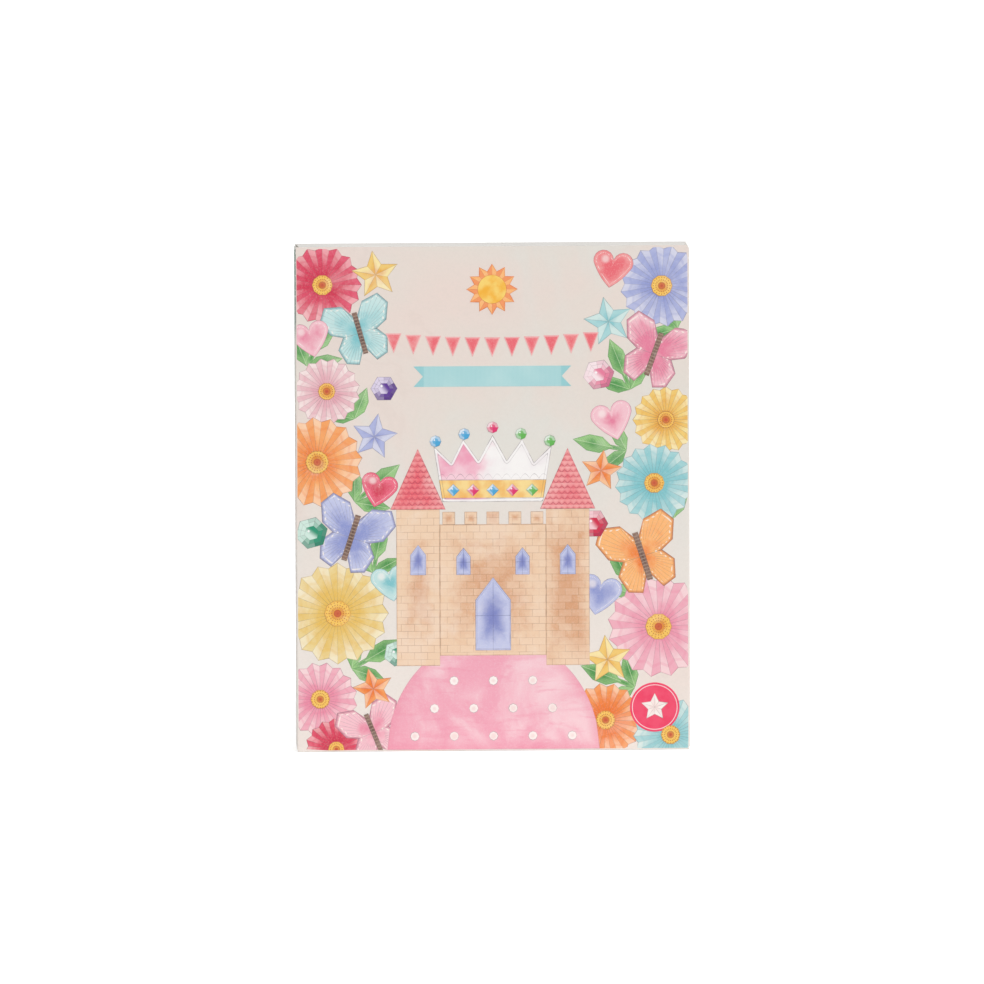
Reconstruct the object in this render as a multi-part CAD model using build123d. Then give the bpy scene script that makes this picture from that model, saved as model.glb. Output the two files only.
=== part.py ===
from build123d import *

import os
from math import cos, pi, radians, sin

os.makedirs("parts", exist_ok=True)

# Slim craft-kit carton standing upright: +Z up, front towards -Y, origin under the middle of its outline.
# All sizes are in millimetres.

# Carton, folded from one board
box_width = 216.0
box_depth = 25.0
box_height = 278.0
board = 0.6
fold_radius = 1.0
flap_gap = 0.3
dust_flap_length = 55.0
bottom_flap_length = 60.0
side_flap_corner = 7.0
glue_flap_width = 14.0
glue_flap_end_gap = 4.0
seam_step = 0.6

# Closing flap with its curved tuck
flap_side_gap = 0.8
flap_taper = 1.75
tuck_length = 15.0
tuck_end_inset = 3.0
tuck_corner = 8.0

# Printed picture on the front panel
ink = 0.1

# Press-out crown sheets
sheet_count = 3
sheet_card = 0.5
sheet_side_gap = 3.0
sheet_top_gap = 9.0
sheet_margin = 9.0
slot = 0.7
nick = 2.0
crown_band = 24.0
strap_width = 22.0

# Sheet of stick-on gems
backing = 0.25
backing_width = 150.0
backing_height = 200.0
gem_radius = 8.0
gem_height = 1.3
gem_lower_angle = 35.0
gem_upper_angle = 66.0
gem_lower_share = 0.45
gem_pitch = 28.0
gem_edge_gap = 12.0

# Double-ended pencils
pencil_count = 6
pencil_flats = 7.0
pencil_end_gap = 19.0
pencil_gap = 0.3
lead_diameter = 3.0
point_diameter = 0.8
cone_length = 14.0
lead_point_length = 5.0
cone_sides = 12

# Levels and faces that the pieces share
half_width = box_width / 2
back_face = box_depth / 2
picture_face = -box_depth / 2
front_face = picture_face + 2 * ink
side_low = 2 * board
side_high = box_height - board - flap_gap
inner_half_width = half_width - board
inner_front = front_face + board
inner_back = back_face - board
rest_level = side_low + board
tuck_front = inner_front + flap_gap
tuck_reach = back_face - tuck_front
dust_front = tuck_front + board + 2 * flap_gap
sheet_width = 2 * (inner_half_width - sheet_side_gap)
sheet_height = side_high - board - sheet_top_gap - rest_level
crown_rise = (sheet_height - 2 * strap_width - 5 * sheet_margin) / 2 - crown_band


def block(x_span, y_span, z_span):
    """Box between three pairs of low and high coordinates."""
    spans = (x_span, y_span, z_span)
    sizes = [high - low for low, high in spans]
    middle = [(high + low) / 2 for low, high in spans]
    return Pos(*middle) * Box(*sizes)


def save(name, solids):
    """Write one named piece, or a group of like pieces, as a STEP file."""
    export_step(Compound(children=list(solids)), f"parts/{name}.step")


# Carton

def folded_block(inset, z_low, z_high, radius):
    """Upright block whose side edges, and the folds into its end flaps, are rounded."""
    solid = block(
        (-half_width + inset, half_width - inset),
        (front_face + inset, back_face - inset),
        (z_low, z_high),
    )
    folds = solid.edges().filter_by(Axis.Z) + solid.edges().filter_by(Axis.Y)
    return fillet(folds, radius)


def side_flaps(length, y_span, z_low):
    """Pair of flaps folded in from the side panels, with rounded free corners."""
    flap = block((-half_width + fold_radius, -half_width + length), y_span, (z_low, z_low + board))
    free_corners = flap.edges().filter_by(Axis.Z).group_by(Axis.X)[-1]
    flap = fillet(free_corners, side_flap_corner)
    return [flap, mirror(flap, about=Plane.YZ)]


def carton():
    """Panels, dust flaps, glued bottom flaps and the inner glue seam, all one folded board."""
    across = (-half_width + fold_radius, half_width - fold_radius)
    shell = folded_block(0, side_low, side_high, fold_radius)
    shell -= folded_block(board, side_low + board, side_high - board, fold_radius - board)
    shell -= block(across, (inner_front, inner_back), (side_high - board, side_high))
    shell -= block(across, (inner_front, inner_back), (side_low, side_low + board))
    for flap in side_flaps(dust_flap_length, (dust_front, inner_back - flap_gap), side_high - board):
        shell += flap
    for flap in side_flaps(bottom_flap_length, (inner_front, inner_back), side_low):
        shell += flap

    # The front and back panels rise past the side folds, to the closing flap.
    shell += block(across, (front_face, inner_front), (side_low, box_height))
    shell += block(across, (inner_back, back_face), (side_low, box_height - board))

    # Two long bottom flaps are glued one over the other, the outer one folded from the front panel.
    bottom = block((-inner_half_width, inner_half_width), (front_face, back_face), (0, side_low))
    bottom_folds = bottom.edges().filter_by(Axis.X).group_by(Axis.Z)[0]
    bottom = fillet(bottom_folds, board)
    bottom -= block((-half_width, half_width), (back_face - seam_step, back_face), (0, board))
    shell += bottom

    # The glue flap folds in from the left side panel and lies on the inside of the back panel.
    seam_low = rest_level + glue_flap_end_gap
    seam_high = side_high - board - glue_flap_end_gap
    seam = block(
        (-inner_half_width, -inner_half_width + glue_flap_width),
        (inner_back - board, inner_back),
        (seam_low, seam_high),
    )
    free_corners = seam.edges().filter_by(Axis.Y).group_by(Axis.X)[-1]
    shell += chamfer(free_corners, glue_flap_width / 2)
    return shell


def top_flap():
    """Tapered closing flap and the tuck, whose arc is centred on the crease at the back panel's top."""
    back_half = half_width - flap_side_gap
    front_half = back_half - flap_taper
    plan = Polygon(
        (-back_half, back_face),
        (-front_half, tuck_front),
        (front_half, tuck_front),
        (back_half, back_face),
        align=None,
    )
    panel = extrude(Pos(0, 0, box_height - board) * plan, board)
    front_edge = panel.edges().filter_by(Axis.X).sort_by(Axis.Y)[:2].sort_by(Axis.Z)[-1]
    panel = fillet(front_edge, board / 2)

    first_angle = board / 2 / tuck_reach
    last_angle = tuck_length / tuck_reach
    inner_reach = tuck_reach - board

    def arc_point(reach, angle):
        return (back_face - reach * cos(angle), box_height - reach * sin(angle))

    middle_angle = (first_angle + last_angle) / 2
    outer_arc = ThreePointArc(
        arc_point(tuck_reach, first_angle),
        arc_point(tuck_reach, middle_angle),
        arc_point(tuck_reach, last_angle),
    )
    inner_arc = ThreePointArc(
        arc_point(inner_reach, last_angle),
        arc_point(inner_reach, middle_angle),
        arc_point(inner_reach, first_angle),
    )
    sides = [Line(outer_arc @ 1, inner_arc @ 0), Line(inner_arc @ 1, outer_arc @ 0)]
    section = make_face([outer_arc, sides[0], inner_arc, sides[1]])
    tuck_half = front_half - tuck_end_inset
    tuck = extrude(Plane.YZ * section, tuck_half, both=True)
    tuck_low = (outer_arc @ 1).Y
    outline = block((-tuck_half, tuck_half), (tuck_front - board, back_face), (tuck_low, box_height))
    low_corners = outline.edges().filter_by(Axis.Y).group_by(Axis.Z)[0]
    tuck &= fillet(low_corners, tuck_corner)
    return panel + tuck


# Contents

def crown_outline(peaks, drop):
    """Flat crown: a band under a row of pointed peaks, lower towards the ends by the share drop."""
    half = sheet_width / 2 - sheet_margin
    step = 2 * half / peaks
    points = [(-half, 0)]
    for peak in range(peaks):
        x = -half + (peak + 0.5) * step
        tip = crown_band + crown_rise * (1 - drop * abs(x) / half)
        points += [(x - step / 2, crown_band), (x, tip)]
    points += [(half, crown_band), (half, 0)]
    return Polygon(*points, align=None)


def crown_sheet(number, peaks, drop):
    """Card sheet with two press-out crowns and two straps, each held by uncut nicks in its slot."""
    sheet = Pos(0, sheet_height / 2) * Rectangle(sheet_width, sheet_height)
    crown = crown_outline(peaks, drop)
    strap = Rectangle(sheet_width - 2 * sheet_margin, strap_width)
    crown_step = crown_band + crown_rise + sheet_margin
    strap_step = strap_width + sheet_margin
    shapes = [Pos(0, sheet_margin + place * crown_step) * crown for place in range(2)]
    shapes += [Pos(0, sheet_height + strap_width / 2 - place * strap_step) * strap for place in (1, 2)]
    for shape in shapes:
        sheet -= shape - offset(shape, -slot, kind=Kind.INTERSECTION)
    for x in (-sheet_width / 4, sheet_width / 4):
        sheet += Pos(x, sheet_height / 2) * Rectangle(nick, sheet_height)
    y_back = inner_back - board - number * sheet_card
    return extrude(facing_front(y_back, rest_level) * sheet, sheet_card)


def facing_front(y, z):
    """Plane that faces the front, with its own x and y along +X and +Z."""
    return Plane(origin=(0, y, z), x_dir=(1, 0, 0), z_dir=(0, -1, 0))


sheets_front = inner_back - board - sheet_count * sheet_card
backing_front = sheets_front - backing
pencil_corners = pencil_flats / cos(pi / 6)
pencil_room = backing_front - inner_front
pencil_columns = max(1, int(pencil_room / (pencil_corners + pencil_gap)))
pencil_rows = -(-pencil_count // pencil_columns)
pencil_top = rest_level + pencil_rows * pencil_flats


def gem_places():
    """Grid of gem centres on the backing, above the pencils, each with its place in the order of cuts."""
    columns = int((backing_width - 2 * gem_edge_gap) / gem_pitch) + 1
    low = pencil_top + gem_edge_gap
    high = rest_level + backing_height - gem_edge_gap
    rows = int((high - low) / gem_pitch) + 1
    for row in range(rows):
        for column in range(columns):
            x = (column - (columns - 1) / 2) * gem_pitch
            yield x, low + row * gem_pitch, (row + column) % 3


def gem(sides):
    """Low stone: steep lower facets, shallow upper facets on them, and a flat table."""
    lower_height = gem_lower_share * gem_height
    lower = extrude(RegularPolygon(gem_radius, sides), lower_height, taper=gem_lower_angle)
    waist = lower.faces().sort_by(Axis.Z)[-1]
    return lower + extrude(waist, gem_height - lower_height, taper=gem_upper_angle)


def pencil_places():
    """Centres of the pencils, stacked in columns in front of the gem sheet."""
    for number in range(pencil_count):
        column = number % pencil_columns
        row = number // pencil_columns
        y = backing_front - pencil_gap - (column + 0.5) * pencil_corners - column * pencil_gap
        yield y, rest_level + (row + 0.5) * pencil_flats


def ring(x, diameter):
    """Corners of a regular outline around the X axis, whose opposite sides are the diameter apart."""
    reach = diameter / 2 / cos(pi / cone_sides)
    angles = [(side + 0.5) * 2 * pi / cone_sides for side in range(cone_sides)]
    return [(x, reach * cos(angle), reach * sin(angle)) for angle in angles]


def cones(start, base_diameter, tip_diameter, length):
    """Pair of flat-sided cones on the X axis that start at +start and -start and point outwards."""
    base = ring(start, base_diameter)
    tip = ring(start + length, tip_diameter)
    outlines = [base, tip]
    for side in range(cone_sides):
        outlines.append([base[side - 1], base[side], tip[side], tip[side - 1]])
    right = Solid(Shell([Face(Wire.make_polygon(outline)) for outline in outlines]))
    return [right, mirror(right, about=Plane.YZ)]


pencil_half_length = inner_half_width - pencil_end_gap
wood_half_length = pencil_half_length - lead_point_length
barrel_half_length = wood_half_length - cone_length


def pencil_barrel():
    """Six-sided wooden barrel with a cone at both ends, where it is sharpened down to the lead."""
    hexagon = RegularPolygon(pencil_flats / 2, 6, major_radius=False)
    barrel = extrude(Plane.YZ * hexagon, barrel_half_length, both=True)
    for end in cones(barrel_half_length, pencil_flats, lead_diameter, cone_length):
        barrel += end
    return barrel


def lead_points():
    """Points of the lead at both ends of a pencil."""
    return cones(wood_half_length, lead_diameter, point_diameter, lead_point_length)


# Shapes of the picture, flat, around their own middle

def polar(reach, angle):
    """Point at a distance and an angle in degrees from the middle."""
    return (reach * cos(radians(angle)), reach * sin(radians(angle)))


def zigzag(reach, points, depth):
    """Closed zigzag around the middle, its inner corners at the share depth of the reach."""
    step = 360 / points
    corners = []
    for point in range(points):
        corners.append(polar(reach, 90 + point * step))
        corners.append(polar(depth * reach, 90 + (point + 0.5) * step))
    return Polygon(*corners, align=None)


def rosette(reach):
    """Round paper fan, whose pleats give it a zigzag edge."""
    return zigzag(reach, 16, 0.9)


def star(reach):
    """Plump star with five points."""
    return zigzag(reach, 5, 0.5)


def heart(reach):
    """Heart with round shoulders and a pointed foot, cut in short straight snips along its curves."""
    notch = (0, 0.45 * reach)
    widest = (reach, 0.2 * reach)
    foot = (0, -reach)
    shoulder = ThreePointArc(notch, (0.62 * reach, 0.85 * reach), widest)
    side = ThreePointArc(widest, (0.62 * reach, -0.4 * reach), foot)
    snips = [shoulder @ (snip / 7) for snip in range(7)] + [side @ (snip / 4) for snip in range(4)]
    right = [(snip.X, snip.Y) for snip in snips] + [foot]
    left = [(-x, y) for x, y in right[-2:0:-1]]
    return Polygon(*right, *left, align=None)


def butterfly(reach):
    """Folded paper butterfly: two upper and two lower wings with straight edges."""
    wing = (
        (0.06, 0.5),
        (0.3, 0.86),
        (0.78, 0.96),
        (1.0, 0.62),
        (0.82, 0.16),
        (0.5, 0.0),
        (0.72, -0.3),
        (0.6, -0.74),
        (0.26, -0.86),
        (0.06, -0.5),
    )
    right = [(x * reach, y * reach) for x, y in wing]
    left = [(-x, y) for x, y in reversed(right)]
    return Polygon(*right, *left, align=None)


def leaf(reach):
    """Pointed leaf from its stalk end at the middle."""
    wide = 0.2 * reach
    over = ((0.3 * reach, wide), (0.62 * reach, wide))
    under = ((0.62 * reach, -wide), (0.3 * reach, -wide))
    return Polygon((0, 0), *reversed(under), (reach, 0), *reversed(over), align=None)


def sprig(reach):
    """Sprig of three leaves: one ahead and one to either side."""
    shape = Pos(0.25 * reach, 0) * leaf(0.75 * reach)
    for side in (-1, 1):
        shape += Rot(0, 0, side * 50) * leaf(0.62 * reach)
    return shape + Pos(0.2 * reach, 0) * Rectangle(0.4 * reach, 0.08 * reach)


def cut_stone(reach):
    """Flat-sided stone."""
    return RegularPolygon(reach, 6)


SHAPES = {
    "rosette": rosette,
    "star": star,
    "heart": heart,
    "butterfly": butterfly,
    "sprig": sprig,
    "stone": cut_stone,
}

# The picture's two garlands. Places are in hundredths of the front panel's width, from its middle, and of its
# height, from its foot. Sizes are in hundredths of its width. What comes first lies on top.
GARLANDS = (
    ("stone", "violet", -27.5, 72.0, 3.4, 0),
    ("stone", "sea", -46.0, 43.5, 4.2, 15),
    ("stone", "rose", 27.0, 74.5, 4.0, 10),
    ("stone", "crimson", 25.5, 45.0, 3.8, 0),
    ("stone", "sea", -24.5, 19.5, 3.4, 20),
    ("heart", "rose", -46.0, 82.0, 4.8, 12),
    ("heart", "crimson", -29.0, 52.0, 4.6, -14),
    ("heart", "aqua", -26.0, 33.5, 4.8, 10),
    ("heart", "coral", 30.5, 95.5, 5.0, -10),
    ("heart", "rose", 30.5, 65.5, 5.2, 14),
    ("heart", "periwinkle", 27.0, 31.0, 5.4, -12),
    ("star", "yellow", -29.5, 94.5, 6.2, 8),
    ("star", "periwinkle", -30.0, 62.5, 6.0, -10),
    ("star", "orange", -30.5, 12.5, 5.4, 14),
    ("star", "aqua", 29.5, 85.0, 6.4, 12),
    ("star", "orange", 27.5, 55.5, 5.4, -8),
    ("star", "yellow", 29.0, 18.0, 6.4, 6),
    ("butterfly", "aqua", -33.5, 83.0, 9.0, 16),
    ("butterfly", "periwinkle", -36.0, 42.5, 10.0, -18),
    ("butterfly", "rose", -30.5, 3.8, 8.5, 22),
    ("butterfly", "rose", 41.0, 78.5, 9.5, -20),
    ("butterfly", "orange", 38.0, 38.5, 10.5, 18),
    ("rosette", "crimson", -43.0, 92.5, 10.0, 0),
    ("rosette", "blush", -42.0, 71.5, 8.5, 10),
    ("rosette", "orange", -44.5, 57.5, 11.5, 5),
    ("rosette", "cream", -39.5, 27.5, 13.0, 0),
    ("rosette", "rose", -44.0, 10.5, 9.5, 12),
    ("rosette", "crimson", -40.0, 0.5, 8.0, 4),
    ("rosette", "periwinkle", 43.0, 92.0, 10.5, 8),
    ("rosette", "yellow", 44.0, 65.5, 8.5, 0),
    ("rosette", "aqua", 41.0, 53.0, 10.0, 6),
    ("rosette", "rose", 42.0, 24.5, 13.0, 14),
    ("rosette", "orange", 28.5, 6.0, 9.5, 9),
    ("rosette", "aqua", 45.0, 3.0, 9.5, 2),
    ("sprig", "leaf", -47.0, 76.5, 15.0, 62),
    ("sprig", "leaf", -35.0, 66.0, 14.0, 118),
    ("sprig", "leaf", -35.0, 49.5, 15.0, 40),
    ("sprig", "leaf", -30.5, 35.5, 13.0, 78),
    ("sprig", "leaf", -36.0, 16.5, 15.0, 30),
    ("sprig", "leaf", 47.0, 83.5, 15.0, 146),
    ("sprig", "leaf", 35.0, 71.5, 14.0, 112),
    ("sprig", "leaf", 34.0, 59.5, 14.0, 168),
    ("sprig", "leaf", 46.0, 46.0, 15.0, 124),
    ("sprig", "leaf", 36.0, 31.0, 14.0, 116),
    ("sprig", "leaf", 36.0, 12.5, 15.0, 158),
)


def art_place(u, v):
    """Place on the front panel's picture plane of a point given in hundredths of its width and height."""
    return Pos(u / 100 * box_width, v / 100 * box_height)


def art_size(size):
    """Length of a size given in hundredths of the panel's width."""
    return size / 100 * box_width


def oblong(u, v, width, height):
    """Upright rectangle of the picture, from its foot at (u, v)."""
    tall = height / 100 * box_height
    return art_place(u, v) * Pos(0, tall / 2) * Rectangle(art_size(width), tall)


def spire(u, v, width, height):
    """Triangle of the picture that stands on its base at (u, v)."""
    half = art_size(width) / 2
    tall = height / 100 * box_height
    return art_place(u, v) * Polygon((-half, 0), (half, 0), (0, tall), align=None)


def castle_walls():
    """Keep with battlements between two towers."""
    walls = oblong(0, 19, 27, 26) + oblong(-19, 17, 11, 31) + oblong(19, 17, 11, 31)
    for tooth in range(-2, 3):
        walls += oblong(tooth * 5.6, 44.5, 3.2, 3)
    return walls


def castle_openings():
    """Pointed door and windows."""
    places = ((0, 20, 9, 10), (-19, 35, 4, 4), (19, 35, 4, 4), (-7.5, 35, 3.6, 3.6), (7.5, 35, 3.6, 3.6))
    return [oblong(u, v, wide, tall) + spire(u, v + tall, wide, wide / 2) for u, v, wide, tall in places]


def picture_crown():
    """Five-pointed crown above the keep."""
    half = art_size(15)
    rise = art_size(17)
    low = art_size(6)
    points = [(-half * 0.85, 0), (half * 0.85, 0)]
    peaks = ((1, 0.75), (0.7, 0.35), (0.5, 0.9), (0.24, 0.4))
    for share, height in (*peaks, (0, 1), *((-share, height) for share, height in reversed(peaks))):
        points.append((share * half, low + height * (rise - low)))
    return art_place(0, 49.5) * Polygon(*points, align=None)


def picture_hill():
    """Rounded hill under the castle, cut off by the panel's foot."""
    return art_place(0, 0) * Ellipse(art_size(27), 0.23 * box_height)


def ribbon():
    """Straight ribbon with swallow-tail ends, under the row of pennants."""
    half = art_size(20)
    high = art_size(2.6)
    fork = art_size(2.4)
    corners = ((-half, high), (half, high), (half - fork, 0), (half, -high), (-half, -high), (-half + fork, 0))
    return art_place(0, 74.3) * Polygon(*corners, align=None)


def pennants():
    """Row of small coral pennants where such a box has its heading."""
    row = []
    for flag in range(11):
        u = (flag - 5) * 5.0
        sag = 0.035 * (flag - 5) ** 2
        half = art_size(2.0)
        drop = art_size(5.0)
        row.append(art_place(u, 82 + sag) * Polygon((-half, 0), (half, 0), (0, -drop), align=None))
    return row


class Picture:
    """Flat picture built from the top layer down, so that no two shapes overlap."""

    def __init__(self):
        self.panel = Pos(0, box_height / 2) * Rectangle(box_width - 2 * fold_radius, box_height - 2 * fold_radius)
        self.placed = []
        self.nodes = {}

    def add(self, name, shape):
        """Trim a shape by the panel and by what lies over it, and keep it under its colour's name."""
        visible = shape & self.panel
        box = shape.bounding_box()
        for other, other_box in self.placed:
            if boxes_meet(box, other_box):
                visible -= other
        self.placed.append((shape, box))
        self.nodes.setdefault(name, []).extend(visible.faces())


def boxes_meet(one, other):
    """Whether two flat bounding boxes overlap."""
    apart_in_x = one.max.X < other.min.X or other.max.X < one.min.X
    apart_in_y = one.max.Y < other.min.Y or other.max.Y < one.min.Y
    return not (apart_in_x or apart_in_y)


def fields():
    """Lower layer of the picture, a field of colour for each shape."""
    picture = Picture()
    for flag in pennants():
        picture.add("print_coral", flag)
    picture.add("print_aqua", ribbon())
    picture.add("print_orange", art_place(0, 91.5) * zigzag(art_size(6.5), 12, 0.72))
    picture.add("print_white", picture_crown())
    for opening in castle_openings():
        picture.add("print_periwinkle", opening)
    for side in (-19, 19):
        picture.add("print_coral", spire(side, 48, 14, 12))
    picture.add("print_spot", art_place(41.0, 8.5) * RegularPolygon(art_size(6.3), 48))
    picture.add("print_peach", castle_walls())
    picture.add("print_rose", picture_hill())
    for kind, colour, u, v, size, turn in GARLANDS:
        picture.add(f"print_{colour}", art_place(u, v) * Rot(0, 0, turn) * SHAPES[kind](art_size(size)))
    return picture.nodes


def accents():
    """Upper layer: the middles of the rosettes and butterflies, the hill's dots and the crown's stones."""
    picture = Picture()
    for kind, colour, u, v, size, turn in GARLANDS:
        if kind == "rosette":
            picture.add("print_middles", art_place(u, v) * RegularPolygon(art_size(0.26 * size), 10))
        if kind == "butterfly":
            body = Rectangle(art_size(0.14 * size), art_size(1.2 * size))
            picture.add("print_bodies", art_place(u, v) * Rot(0, 0, turn) * body)
    for row, count in ((3.0, 5), (8.5, 4), (14.0, 3)):
        for dot in range(count):
            u = (dot - (count - 1) / 2) * 10
            picture.add("print_dots", art_place(u, row) * RegularPolygon(art_size(1.2), 8))
    for u, v in ((-14.5, 61.5), (-7.2, 62.9), (0, 64.2), (7.2, 62.9), (14.5, 61.5)):
        picture.add("print_stones", art_place(u, v) * RegularPolygon(art_size(1.5), 8))
    for step in range(-2, 3):
        picture.add("print_stones", art_place(step * 5, 51.8) * RegularPolygon(art_size(1.6), 4))
    picture.add("print_dots", art_place(41.0, 8.5) * star(art_size(3.6)))
    return picture.nodes


save("carton", [carton()])
save("top_flap", [top_flap()])

for number in range(sheet_count):
    solids = crown_sheet(number, peaks=5 + 2 * number, drop=0.15 * number).solids()
    save(f"crown_sheet_{number + 1}", solids)

backing_outline = Pos(0, backing_height / 2) * Rectangle(backing_width, backing_height)
save("gem_backing", [extrude(facing_front(sheets_front, rest_level) * backing_outline, backing)])
cuts = (("gems_round", gem(10)), ("gems_square", gem(4)), ("gems_hexagon", gem(6)))
for index, (name, stone) in enumerate(cuts):
    places = [(x, z) for x, z, cut in gem_places() if cut == index]
    save(name, [facing_front(backing_front, z) * Pos(x, 0) * stone for x, z in places])

for number, (y, z) in enumerate(pencil_places()):
    save(f"pencil_barrel_{number + 1}", [Pos(0, y, z) * pencil_barrel()])
save("pencil_leads", [Pos(0, y, z) * point for y, z in pencil_places() for point in lead_points()])

for layer, nodes in enumerate((fields(), accents())):
    for name, faces in nodes.items():
        plane = facing_front(front_face - layer * ink, 0)
        save(name, [extrude(plane * face, ink, dir=plane.z_dir) for face in faces])
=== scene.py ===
# %% [markdown]
# # A craft kit in its card box
#
# The object is a slim box folded from one sheet of printed card, with press-out crown sheets, a sheet of
# gems and six pencils inside. The solids come ready made, so this lesson gives them their looks: card, a
# watercolour picture, paint, wood and cut stones. Shapes are in metres. Fine patterns are in millimetres.

import bpy
import numpy as np
from mathutils import Euler, Matrix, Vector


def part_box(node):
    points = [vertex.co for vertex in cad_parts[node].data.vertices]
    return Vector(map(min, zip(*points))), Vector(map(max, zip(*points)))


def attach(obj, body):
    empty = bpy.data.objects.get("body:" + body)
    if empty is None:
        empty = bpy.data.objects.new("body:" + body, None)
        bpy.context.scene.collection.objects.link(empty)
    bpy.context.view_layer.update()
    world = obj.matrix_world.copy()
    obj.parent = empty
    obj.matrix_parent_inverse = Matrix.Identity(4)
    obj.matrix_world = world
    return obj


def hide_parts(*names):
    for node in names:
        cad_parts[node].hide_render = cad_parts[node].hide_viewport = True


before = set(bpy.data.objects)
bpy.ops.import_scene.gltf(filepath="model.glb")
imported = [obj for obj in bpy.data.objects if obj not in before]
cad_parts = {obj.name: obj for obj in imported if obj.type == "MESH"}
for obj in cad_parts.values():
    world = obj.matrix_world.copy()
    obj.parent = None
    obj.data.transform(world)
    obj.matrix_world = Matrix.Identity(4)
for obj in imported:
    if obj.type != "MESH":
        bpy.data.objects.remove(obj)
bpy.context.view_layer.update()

MM = 0.001

# %% [markdown]
# ## Sizes measured from the frame
#
# The picture is printed on the front panel. Its places are hundredths of that panel's width, from the
# middle, and of its height, from the foot.

# %% Sizes of the front panel and of the print layers
carton_low, carton_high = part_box("carton")
HALF_WIDTH = carton_high.x
WIDTH = 2 * HALF_WIDTH
HEIGHT = carton_high.z
FRONT_FACE, BACK_FACE = carton_low.y, carton_high.y
BOARD = 0.6 * MM
FOLD = 1.0 * MM
FLAP_GAP = 0.3 * MM
SIDE_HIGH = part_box("top_flap")[1].z - BOARD - FLAP_GAP
FIELD_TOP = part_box("print_peach")[0].y
ACCENT_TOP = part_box("print_middles")[0].y
PANEL_HALF = HALF_WIDTH - FOLD
PANEL_LOW = FOLD
PANEL_HIGH = HEIGHT - FOLD
print("panel", round(WIDTH / MM, 1), "x", round(HEIGHT / MM, 1), "mm, ink from", round(FRONT_FACE / MM, 2))

# %% [markdown]
# ## Camera
#
# The box was photographed from far off, a little from its left and from six degrees above, with the camera
# not quite level. A long lens at eight metres does the same. It follows from the width that the picture's
# frame has at the front panel.

# %% Camera on a sphere round the box's middle
CAMERA_DISTANCE = 8.0
CAMERA_AZIMUTH = -1.7
CAMERA_ELEVATION = 5.8
CAMERA_ROLL = -0.2
CAMERA_SHIFT = (-0.0001, 0.0048)
FRAME_WIDTH = 0.5392
SENSOR = 36.0
MIDDLE = np.array([0.0, 0.0, HEIGHT / 2])


def add_object(name, data):
    """New object in the scene."""
    made = bpy.data.objects.new(name, data)
    bpy.context.scene.collection.objects.link(made)
    return made


azimuth, elevation = np.radians([CAMERA_AZIMUTH, CAMERA_ELEVATION])
level_part = np.array([np.sin(azimuth), -np.cos(azimuth), 0]) * np.cos(elevation)
upright = Euler((np.pi / 2 - elevation, 0, azimuth)).to_matrix()
camera = add_object("camera", bpy.data.cameras.new("camera"))
camera.location = MIDDLE + CAMERA_DISTANCE * (level_part + (0, 0, np.sin(elevation)))
camera.rotation_euler = (upright @ Matrix.Rotation(np.radians(CAMERA_ROLL), 3, "Z")).to_euler()
camera.data.sensor_width = SENSOR
camera.data.lens = SENSOR * (CAMERA_DISTANCE + FRONT_FACE) / FRAME_WIDTH
camera.data.shift_x, camera.data.shift_y = CAMERA_SHIFT
bpy.context.scene.camera = camera
bpy.context.scene.view_settings.view_transform = "Standard"
print("lens", round(camera.data.lens), "mm")

# %% [markdown]
# ## Node trees as formulas
#
# Every finish is a tree of shader nodes. An output is wrapped in a Value that can be reckoned with: a sum or
# a product adds a Math node. A tree then reads like a formula. For a colour, a six-figure code will do.

# %% Colours and values


def colour(code):
    """Linear colour with alpha from a six-figure code."""
    levels = np.array([int(code[i:i + 2], 16) / 255 for i in (0, 2, 4)])
    linear = np.where(levels <= 0.04045, levels / 12.92, ((levels + 0.055) / 1.055) ** 2.4)
    return (*linear.tolist(), 1.0)


def blend(share, first, second):
    """Linear colour at a share of the way from one code to another."""
    return ((1 - share) * np.array(colour(first)) + share * np.array(colour(second))).tolist()


def sign(operation, turned=False):
    """Method for a sign between a value and another, or the other way round."""
    return lambda one, two: maths(operation, two, one) if turned else maths(operation, one, two)


class Value:
    """Output of a shader node. It stands left of the sign, except in a difference."""

    def __init__(self, socket):
        self.socket = socket
        self.tree = socket.id_data

    __add__ = sign("ADD")
    __sub__ = sign("SUBTRACT")
    __rsub__ = sign("SUBTRACT", turned=True)
    __mul__ = sign("MULTIPLY")
    __truediv__ = sign("DIVIDE")
    __mod__ = sign("MODULO")

    def __abs__(self):
        return maths("ABSOLUTE", self)


def tree_of(*values):
    """Tree of the first of these that is a node's output."""
    return next(value.tree for value in values if isinstance(value, Value))


def feed(socket, value):
    """Link a value to a socket, or set the socket's own to a constant."""
    if isinstance(value, Value):
        value.tree.links.new(value.socket, socket)
    else:
        socket.default_value = colour(value) if isinstance(value, str) else value


def add_node(tree, kind, sockets=None, **settings):
    """Add a shader node, with its settings and the sockets named or numbered in a dictionary."""
    made = tree.nodes.new("ShaderNode" + kind)
    for name, value in settings.items():
        setattr(made, name, value)
    for key, value in (sockets or {}).items():
        feed(made.inputs[key], value)
    return made


def maths(operation, *values):
    """Math node. MODULO takes the sign of what is divided, so that is kept above zero."""
    return Value(add_node(tree_of(*values), "Math", dict(enumerate(values)), operation=operation).outputs[0])


def sine(value):
    """Sine of an angle in radians."""
    return maths("SINE", value)


def hypot(a, b):
    """Root of a squared plus b squared."""
    return maths("SQRT", a * a + b * b)


def least(first, *others):
    """Least of several values."""
    for other in others:
        first = maths("MINIMUM", first, other)
    return first


def most(first, *others):
    """Greatest of several values."""
    for other in others:
        first = maths("MAXIMUM", first, other)
    return first


def step(value, low, high, start, end):
    """Smooth step of a value between low and high, from one result to the other."""
    sockets = dict(enumerate((value, low, high, start, end)))
    return Value(add_node(value.tree, "MapRange", sockets, interpolation_type="SMOOTHSTEP").outputs[0])


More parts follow.
